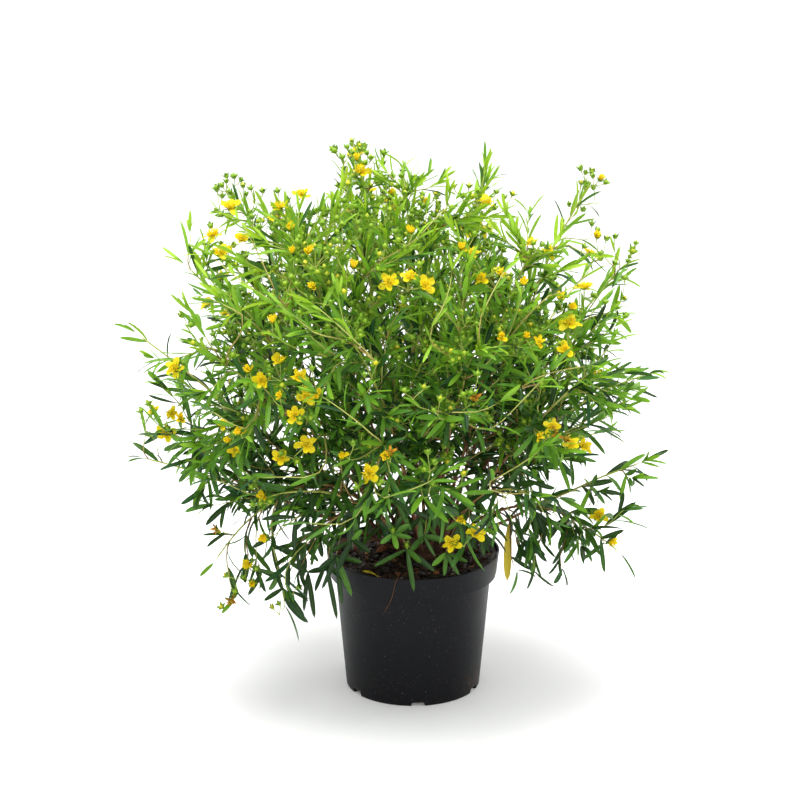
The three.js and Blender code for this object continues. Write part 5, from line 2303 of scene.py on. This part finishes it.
# Leaves that hang low in front, by the pixel of their node, its depth in millimetres, and their tips
RIM_NODES: tuple[tuple[Pair, float, tuple[Pair, ...]], ...] = (
    (
        (393, 534), -122.0,
        ((377, 520), (385, 514), (402, 515), (410, 524), (412, 538), (380, 544), (398, 549)),
    ),
    ((407, 549), -116.0, ((374, 567), (415, 591), (436, 572), (421, 563))),
    ((446, 553), -118.0, ((432, 566), (444, 576), (459, 575), (468, 562))),
    ((336, 556), -96.0, ((363, 561), (343, 607), (352, 596), (322, 590), (318, 570))),
    ((352, 540), -100.0, ((330, 552), (336, 572), (371, 552), (362, 530))),
    ((424, 536), -124.0, ((410, 552), (436, 556), (446, 540))),
    ((303, 543), -70.0, ((302, 580), (319, 562), (290, 566), (274, 549))),
    ((308, 572), -75.0, ((315, 619), (329, 568), (290, 562), (304, 612))),
    ((283, 588), -80.0, ((305, 618), (263, 600), (288, 604))),
    ((326, 564), -92.0, ((338, 621), (345, 580), (314, 592))),
    ((272, 545), -40.0, ((279, 575), (298, 559))),
    ((262, 572), -60.0, ((283, 577), (248, 596))),
    ((316, 528), -60.0, ((308, 556), (330, 548), (300, 530), (322, 560))),
    ((395, 500), -120.0, ((432, 521), (412, 531), (376, 508), (372, 520))),
    ((352, 506), -100.0, ((349, 545), (359, 543), (381, 514), (337, 530))),
    ((440, 500), -110.0, ((447, 528), (463, 515), (425, 515), (433, 532))),
    ((420, 518), -110.0, ((404, 534), (436, 536), (421, 545))),
    ((462, 520), -104.0, ((452, 546), (478, 538), (446, 530), (466, 552))),
    ((480, 528), -96.0, ((470, 552), (494, 548), (484, 556), (498, 534))),
    ((400, 508), 20.0, ((390, 536), (418, 530), (405, 540), (384, 522))),
    ((430, 508), 30.0, ((422, 536), (446, 532), (436, 540), (414, 524))),
    ((452, 510), 20.0, ((446, 536), (468, 530), (457, 542), (436, 526))),
    ((376, 510), 10.0, ((366, 536), (392, 534), (380, 542), (360, 524))),
    ((525, 540), -70.0, ((531, 572), (514, 562), (546, 556), (538, 566))),
    ((536, 512), -60.0, ((537, 540), (552, 528), (521, 534), (546, 538))),
    ((560, 520), -50.0, ((564, 548), (578, 536), (548, 540), (574, 546))),
)


@dataclass
class Carriers:
    """Finds where on the grown branches a shoot to a given place can start."""

    limbs: list[Limb]
    nearest: float = 22.0
    behind: float = 12.0
    turn_cost: float = 0.7
    step: float = 7.0
    root_radii: Pair = (0.65, 1.15)
    tip_radius: float = 0.45
    ages: Pair = (0.5, 0.95)

    def __post_init__(self) -> None:
        """Gathers the points of all the branches."""
        branches = [(limb, branch) for limb in self.limbs for branch in limb.branches]
        self.owners = [limb for limb, branch in branches for _ in branch.points]
        self.points = np.concatenate([branch.points for _, branch in branches])
        self.ways = np.concatenate([branch.tangents for _, branch in branches])
        self.reaches = np.linalg.norm(self.points - CROWN * MM, axis=1)

    def shoot(self, end: np.ndarray, way: np.ndarray, rng: Random) -> tuple[Limb, Branch]:
        """Grows a shoot from the branch that can best carry it.

        Args:
            end: where the shoot ends.
            way: the way that it points there.
            rng: the source of chance.

        Returns:
            The stem that carries it, and the shoot.
        """
        offset = end - self.points
        away = np.linalg.norm(offset, axis=1)
        turned_off = 1 - (offset * self.ways).sum(axis=1) / np.maximum(away, 1e-9)
        end_reach = np.linalg.norm(end - CROWN * MM)
        allowed = (away > self.nearest * MM) & (self.reaches < end_reach - self.behind * MM)
        cost = np.where(allowed, away * (1 + self.turn_cost * turned_off), np.inf)
        best = int(np.argmin(cost))
        length = away[best]
        first = self.points[best] + unit(self.ways[best] + unit(offset[best]) * 0.8) * length * 0.4
        last = end - unit(unit(offset[best]) + unit(way)) * length * 0.35
        points = bezier([self.points[best], first, last, end], max(6, int(length / (self.step * MM))))
        points[1:-1] += rng.normal(0, 0.35, (len(points) - 2, 3)) * MM
        radius = blend(*self.root_radii, share_of(length / MM, 25, 110))
        owner = self.owners[best]
        return owner, Branch(points, radius * MM, self.tip_radius * MM, self.ages, owner.stem.stem)


@dataclass
class SeenParts:
    """Places the sprays, heads and shoots that the photograph shows."""

    carriers: Carriers
    drop: float = 12.0
    together: float = 28.0
    front: float = -234.0
    lower: float = 4.0
    lift_least: float = 0.3
    lift_heights: Pair = (380.0, 540.0)
    lift_fronts: Pair = (90.0, 170.0)
    head_shares: Pair = (0.93, 1.0)
    shoot_shares: Pair = (0.86, 0.95)
    stem_share: float = 0.98
    stem_steps: int = 9
    stem_radii: Pair = (0.85, 0.5)
    stem_ages: Pair = (0.5, 0.74)
    stem_nodes: tuple[float, ...] = (0.35, 0.55, 0.72, 0.86)
    stem_leaf: float = 0.8
    twig_nodes: tuple[float, ...] = (0.3, 0.55, 0.78, 0.98)
    twig_leaf: float = 0.66
    twig_ages: Pair = (0.35, 0.6)
    rim_way: Place = (0.0, -0.55, -0.8)
    rim_widths: Pair = (4.8, 6.6)
    rim_budded: int = 2
    # Painted shade for the low leaves over the rim: a low age mark gives them a dark colour
    rim_age_and_shade: float = 0.06
    rim_tone: float = 0.6
    young_length: float = 22.0

    def carry(self, fork: np.ndarray, way: np.ndarray, rng: Random, tuft: bool = False) -> Limb:
        """Grows the leafy shoot that carries something at a fork.

        Args:
            fork: where the shoot ends.
            way: the way that it points there.
            rng: the source of chance.
            tuft: whether it ends in a tuft of leaves.

        Returns:
            The stem that it grows on.
        """
        limb, shoot = self.carriers.shoot(fork, way, rng)
        limb.lay_wood(shoot, rng)
        LEAVES.dress(limb.leaves, shoot, rng, 0.12, thin=False)
        if tuft:
            LEAVES.tuft(limb.leaves, shoot, rng)
        return limb

    def spray(self, heads: list[Head], piece: Piece | None, rng: Random) -> None:
        """Adds heads that share one fork, with the shoot under it.

        Args:
            heads: the heads.
            piece: the piece that gets them, or None for the blooms of the stem that carries them.
            rng: the source of chance.
        """
        backs = [head.centre - (head.facing + UP) * self.drop / 2 * MM for head in heads]
        fork = np.mean(backs, axis=0)
        way = unit(np.mean([head.facing for head in heads], axis=0) + UP * 0.5)
        limb = self.carry(fork, way, rng)
        target = piece or limb.blooms
        for head in heads:
            Growth.stalk(target, fork, head, way)
            FLOWERS.head(target, head, rng)
        for _ in range(2 if piece else 0):
            out = FLOWERS.round_axis(way, rng.uniform(0, FULL_TURN))
            offset = out * rng.uniform(7, 12) + way * rng.uniform(4, 10)
            bud = Head(fork + offset * MM, unit(offset + UP * 4), Stage.BUD)
            Growth.stalk(target, fork, bud, way)
            FLOWERS.head(target, bud, rng)

    def place_sprays(self) -> None:
        """Adds the named sprays, each in a piece of its own."""
        for number, (name, rows) in enumerate(SPRAYS.items()):
            rng = np.random.default_rng([SEED, 100, number])
            piece = Piece(f"blossom_{name}", "petals", (PETAL, SEPAL, STAMEN, BARK), f"flowers_{name}")
            heads = [Head(np.array(row[:3]) * MM, self.lifted(row), Stage.OPEN, *row[6:]) for row in rows]
            self.spray(heads, piece, rng)
            piece.build()

    def lifted(self, row: tuple[float, ...]) -> np.ndarray:
        """Returns the way a spray's flower faces: more to the sky where it stands high and far back.

        Args:
            row: the flower's row in SPRAYS.

        Returns:
            The direction.
        """
        high, near = share_of(row[2], *self.lift_heights), share_of(-row[1], *self.lift_fronts)
        lift = self.lift_least + high * (1 - near)
        return unit(np.array(row[3:6], float) + UP * lift)

    def place_heads(self) -> None:
        """Adds the other heads that show, with close neighbours on one shoot."""
        rng = np.random.default_rng([SEED, 200])
        waiting = []
        for stage, places in SEEN_HEADS.items():
            for seen in places:
                point = CANOPY.surface(seen, rng.uniform(*self.head_shares))
                point[1] = max(point[1], self.front * MM)
                point[2] -= self.lower * MM * (stage is Stage.BUD)
                high = LEAVES.height_share(point)
                lean = np.array([0.0, -0.5, blend(0.3, 1.0, high)]) if stage is not Stage.BUD else UP * 0.9
                facing = unit(CANOPY.outward(point) * 0.5 + lean + rng.normal(0, 0.22, 3))
                waiting.append(Head(point, facing, stage))
        while waiting:
            first = waiting[0]
            group = [head for head in waiting if math.dist(head.centre, first.centre) < self.together * MM]
            waiting = [head for head in waiting if all(head is not other for other in group)]
            self.spray(group, None, rng)

    def place_shoots(self) -> None:
        """Adds the shoots and twigs that reach out of the outline."""
        rng = np.random.default_rng([SEED, 300])
        for ends in SEEN_SHOOTS:
            root, tip = map(CANOPY.surface, ends, self.shoot_shares)
            self.carry(tip, unit(tip - root), rng, tuft=True)
        for ends in SEEN_TWIGS:
            root, tip = map(CANOPY.surface, ends, self.shoot_shares)
            limb, twig = self.carriers.shoot(tip, unit(tip - root), rng)
            twig.ages = self.twig_ages
            limb.lay_wood(twig, rng)
            for share in self.twig_nodes:
                LEAVES.pair(limb.leaves, twig, share, rng.uniform(0, math.pi), self.twig_leaf, 0.0, rng)

    def place_stems(self) -> None:
        """Adds the pale stems that show in front of the leaves."""
        rng = np.random.default_rng([SEED, 500])
        for passed in SEEN_STEMS:
            marks = [CANOPY.surface(seen, self.stem_share) for seen in passed]
            limb, foot = self.carriers.shoot(marks[0], unit(marks[1] - marks[0]), rng)
            shown = bezier([marks[0], 2 * marks[1] - (marks[0] + marks[2]) / 2, marks[2]], self.stem_steps)
            points = np.concatenate([foot.points, shown[1:]])
            stem = Branch(points, self.stem_radii[0] * MM, self.stem_radii[1] * MM, self.stem_ages, foot.stem)
            limb.lay_wood(stem, rng)
            for share in self.stem_nodes:
                LEAVES.pair(limb.leaves, stem, share, rng.uniform(0, math.pi), self.stem_leaf, 0.4, rng)
            LEAVES.tuft(limb.leaves, stem, rng)

    def place_rim_leaves(self) -> None:
        """Adds the leaves that hang over the compost and the rim at the front."""
        rng = np.random.default_rng([SEED, 400])
        for number, (node_seen, depth, tips_seen) in enumerate(RIM_NODES):
            node = CANOPY.at_depth(node_seen, depth)
            limb, shoot = self.carriers.shoot(node, np.array(self.rim_way), rng)
            shoot.ages = self.twig_ages
            limb.lay_wood(shoot, rng)
            if number < self.rim_budded:
                bud = Head(node + (UP * 3 - VIEW.ahead * 6) * MM, unit(UP - VIEW.ahead), Stage.BUD)
                Growth.stalk(limb.blooms, node, bud, UP)
                FLOWERS.head(limb.blooms, bud, rng)
            for tip_seen in tips_seen:
                along = CANOPY.at_depth(tip_seen, depth - rng.uniform(0, 8)) - node
                length = float(np.linalg.norm(along))
                normal = rng.normal(0, 0.3, 3) - VIEW.ahead + UP * 0.4
                # The low age mark is painted shade: it gives these low leaves under the canopy a dark colour
                # and the shaded-leaf copy.
                age = clamp(rng.normal(self.rim_age_and_shade, 0.08) + 0.3 * (length < self.young_length * MM))
                size = (length, rng.uniform(*self.rim_widths) * MM)
                curl = (rng.normal(0.1, 0.12), 0.3, rng.normal(0, 0.25), 0.05)
                finish = GROWN_LEAF if age > LEAVES.grown_from else SHADED_LEAF
                tone = rng.random() * self.rim_tone
                limb.leaves.blade(LEAF, finish, node, along, normal, size, curl, tone, age)


# Loose and withered parts


@dataclass(frozen=True)
class LooseParts:
    """The dead leaf, the dry twig, the yellowed leaf and the rootlet over the rim."""

    leaf_centre: Place = (-46.0, -78.0, 157.2)
    leaf_heading: float = -22.0
    leaf_size: Pair = (21.0, 8.0)
    twig_ends: tuple[Pair, Pair] = ((-62.0, 8.0), (-40.0, 38.0))
    twig_lift: float = 2.6
    twig_arch: float = 3.0
    twig_radii: Pair = (1.0, 0.7)
    twig_steps: int = 13
    spur_from: int = 8
    spur_way: Place = (6.0, -3.0, 4.0)
    spur_radius: float = 0.45
    yellow_stem: int = 22
    yellow_at: float = 0.36
    yellow_way: Place = (-0.07, -0.05, -1.0)
    yellow_face: Place = (-0.35, -0.9, 0.1)
    yellow_size: Pair = (71.0, 9.0)
    yellow_drop: float = 3.9
    yellow_stalk: float = 0.6
    rootlet_radii: Pair = (0.42, 0.2)
    rootlet: tuple[tuple[float, float, float], ...] = (
        (-8.0, 84.0, 151.5), (-9.5, 91.0, 154.5), (-10.5, 95.2, 156.2), (-11.5, 96.4, 152.0),
        (-12.5, 95.6, 144.0), (-14.0, 94.4, 134.0), (-16.0, 91.5, 126.0), (-19.5, 86.2, 117.0),
        (-24.0, 84.9, 106.0),
    )

    def build(self, stems: list[Branch], compost: Compost) -> None:
        """Makes the four parts.

        Args:
            stems: the main stems.
            compost: the compost that they lie on.
        """
        self.build_dead_leaf()
        self.build_twig(compost)
        self.build_yellow_leaf(stems[self.yellow_stem])
        self.build_rootlet()

    def build_dead_leaf(self) -> None:
        """Makes the dead leaf on the rim."""
        heading = math.radians(self.leaf_heading)
        along = np.array([math.cos(heading), math.sin(heading), 0.04])
        root = np.array(self.leaf_centre) * MM - along * self.leaf_size[0] / 2 * MM
        piece = Piece("dead_leaf", "withered", (WITHERED,), "fallen_leaf")
        size = (self.leaf_size[0] * MM, self.leaf_size[1] * MM)
        piece.blade(LEAF, WITHERED, root, along, UP, size, (0.5, 0.35, 0.5, 0.25), 0.4, 0.97)
        piece.build()

    def build_twig(self, compost: Compost) -> None:
        """Makes the dry twig on the compost.

        Args:
            compost: the compost that it lies on.
        """
        ends = [np.array([x, y, compost.height(x, y) + self.twig_lift]) * MM for x, y in self.twig_ends]
        middle = (ends[0] + ends[1]) / 2 + UP * self.twig_arch * MM
        path = bezier([ends[0], middle, ends[1]], self.twig_steps)
        piece = Piece("dead_twig", "bark", (BARK,), "dry_twig")
        knots = 1 + 0.16 * np.sin(np.arange(self.twig_steps) * 1.9)
        radii = np.linspace(*self.twig_radii, self.twig_steps) * knots * MM
        piece.tube(path, radii, 8, BARK, 0.8, (0.36, 0.44), (True, True))
        root = path[self.spur_from]
        side = root + np.array(self.spur_way) * MM
        spur = bezier([root, (root + side) / 2 + UP * MM, side], 5)
        piece.tube(spur, np.full(5, self.spur_radius) * MM, 5, BARK, 0.8, (0.4, 0.45))
        piece.build()

    def build_yellow_leaf(self, stem: Branch) -> None:
        """Makes the yellowed leaf that hangs under its stem.

        Args:
            stem: the stem.
        """
        node, _ = stem.at(self.yellow_at)
        root = node - UP * self.yellow_drop * MM
        piece = Piece("old_yellow_leaf", "withered", (WITHERED,), "yellowed_leaf")
        size = (self.yellow_size[0] * MM, self.yellow_size[1] * MM)
        way, face = np.array(self.yellow_way), np.array(self.yellow_face)
        piece.blade(LEAF, WITHERED, root, way, face, size, (0.25, 0.3, 0.5, 0.06), 0.5, 0.98)
        stalk = np.linspace(node, root + unit(way) * 2 * MM, 4)
        piece.tube(stalk, np.full(4, self.yellow_stalk) * MM, 5, WITHERED, 0.5, (0.8, 0.95))
        piece.build()

    def build_rootlet(self) -> None:
        """Makes the rootlet that hangs over the rim at the front."""
        rows = np.array(self.rootlet)
        turn = np.radians(rows[:, 0])
        points = np.stack([np.sin(turn) * rows[:, 1], -np.cos(turn) * rows[:, 1], rows[:, 2]], axis=1)
        piece = Piece("rootlet", "bark", (BARK,))
        radii = np.linspace(*self.rootlet_radii, len(points)) * MM
        piece.tube(points * MM, radii, 6, BARK, 0.9, (0.1, 0.24))
        piece.build()


# Floor and light


@dataclass(frozen=True)
class Studio:
    """A white floor that curves up behind the plant, a white sky and two soft lamps."""

    half_width: float = 4.0
    front: float = -3.2
    back: float = 2.6
    bend: float = 1.2
    wall: float = 4.0
    sky: float = 0.91
    glow: float = 0.12
    key_place: Place = (-0.2, -0.35, 3.0)
    key_size: float = 1.9
    key_power: float = 100.0
    rim_place: Place = (1.5, 0.85, 0.25)
    rim_size: float = 0.6
    rim_power: float = 8.0
    lit: Place = (0.0, 0.0, 0.3)
    white: Place = (0.93, 0.93, 0.93)
    bend_steps: int = 24

    def build(self) -> None:
        """Makes the floor and the lights."""
        self.build_floor()
        self.build_sky()
        self.build_lamp("key", self.key_place, self.key_size, self.key_power)
        self.build_lamp("rim", self.rim_place, self.rim_size, self.rim_power)
        bpy.context.scene.view_settings.view_transform = "Standard"

    def build_floor(self) -> None:
        """Makes the floor with its rounded rise at the back."""
        profile = [(self.front, 0.0)]
        for step in range(self.bend_steps + 1):
            angle = math.pi / 2 * step / self.bend_steps
            profile.append((self.back + self.bend * math.sin(angle), self.bend * (1 - math.cos(angle))))
        profile.append((self.back + self.bend, self.wall))
        places = [(side * self.half_width, y, z) for y, z in profile for side in (-1, 1)]
        faces = [(2 * k, 2 * k + 1, 2 * k + 3, 2 * k + 2) for k in range(len(profile) - 1)]
        mesh = bpy.data.meshes.new("studio_floor")
        mesh.from_pydata(places, [], faces)
        mesh.polygons.foreach_set("use_smooth", [True] * len(faces))
        graph = Graph("white_floor")
        look = {"Roughness": 0.9, "Specular_IOR_Level": 0.0, "Emission_Strength": self.glow}
        surface = graph.principled(Base_Color=self.white, Emission_Color=self.white, **look)
        mesh.materials.append(graph.finish(surface))
        add_object("studio_floor", mesh)

    def build_sky(self) -> None:
        """Makes the even white light from all sides."""
        world = bpy.data.worlds.new("studio_sky")
        world.use_nodes = True
        light = world.node_tree.nodes["Background"]
        light.inputs["Color"].default_value = (1.0, 1.0, 1.0, 1.0)
        light.inputs["Strength"].default_value = self.sky
        bpy.context.scene.world = world

    def build_lamp(self, name: str, place: Place, size: float, power: float) -> None:
        """Makes a square lamp that looks at the middle of the plant.

        Args:
            name: its name.
            place: its place, in metres.
            size: its side, in metres.
            power: its power, in watts.
        """
        data = bpy.data.lights.new(name, "AREA")
        data.size = size
        data.energy = power
        lamp = add_object(name, data)
        lamp.location = place
        away = unit(np.array(place) - np.array(self.lit))
        lamp.rotation_euler = (math.acos(away[2]), 0.0, math.atan2(away[0], -away[1]))


def main() -> None:
    """Builds the camera, the plant from the pot up, and the studio."""
    logging.basicConfig(level=logging.INFO, format="%(message)s")
    VIEW.make_camera()
    compost = Compost()
    Pot().build()
    compost.build()
    RootCrown().build()
    stems = StemPlan().grow()
    limbs = [Limb(stem) for stem in stems]
    for limb in limbs:
        GROWTH.grow(limb, np.random.default_rng([SEED, limb.stem.stem]))
    seen = SeenParts(Carriers(limbs))
    seen.place_sprays()
    seen.place_heads()
    seen.place_shoots()
    seen.place_stems()
    seen.place_rim_leaves()
    for limb in limbs:
        limb.build()
    LooseParts().build(stems, compost)
    Studio().build()
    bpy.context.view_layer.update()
    meshes = [made.data for made in bpy.data.objects if made.type == "MESH" and made.data.uv_layers]
    log.info("triangles of all pieces: %d", sum(len(mesh.loop_triangles) for mesh in meshes))


if __name__ == "__main__":
    main()
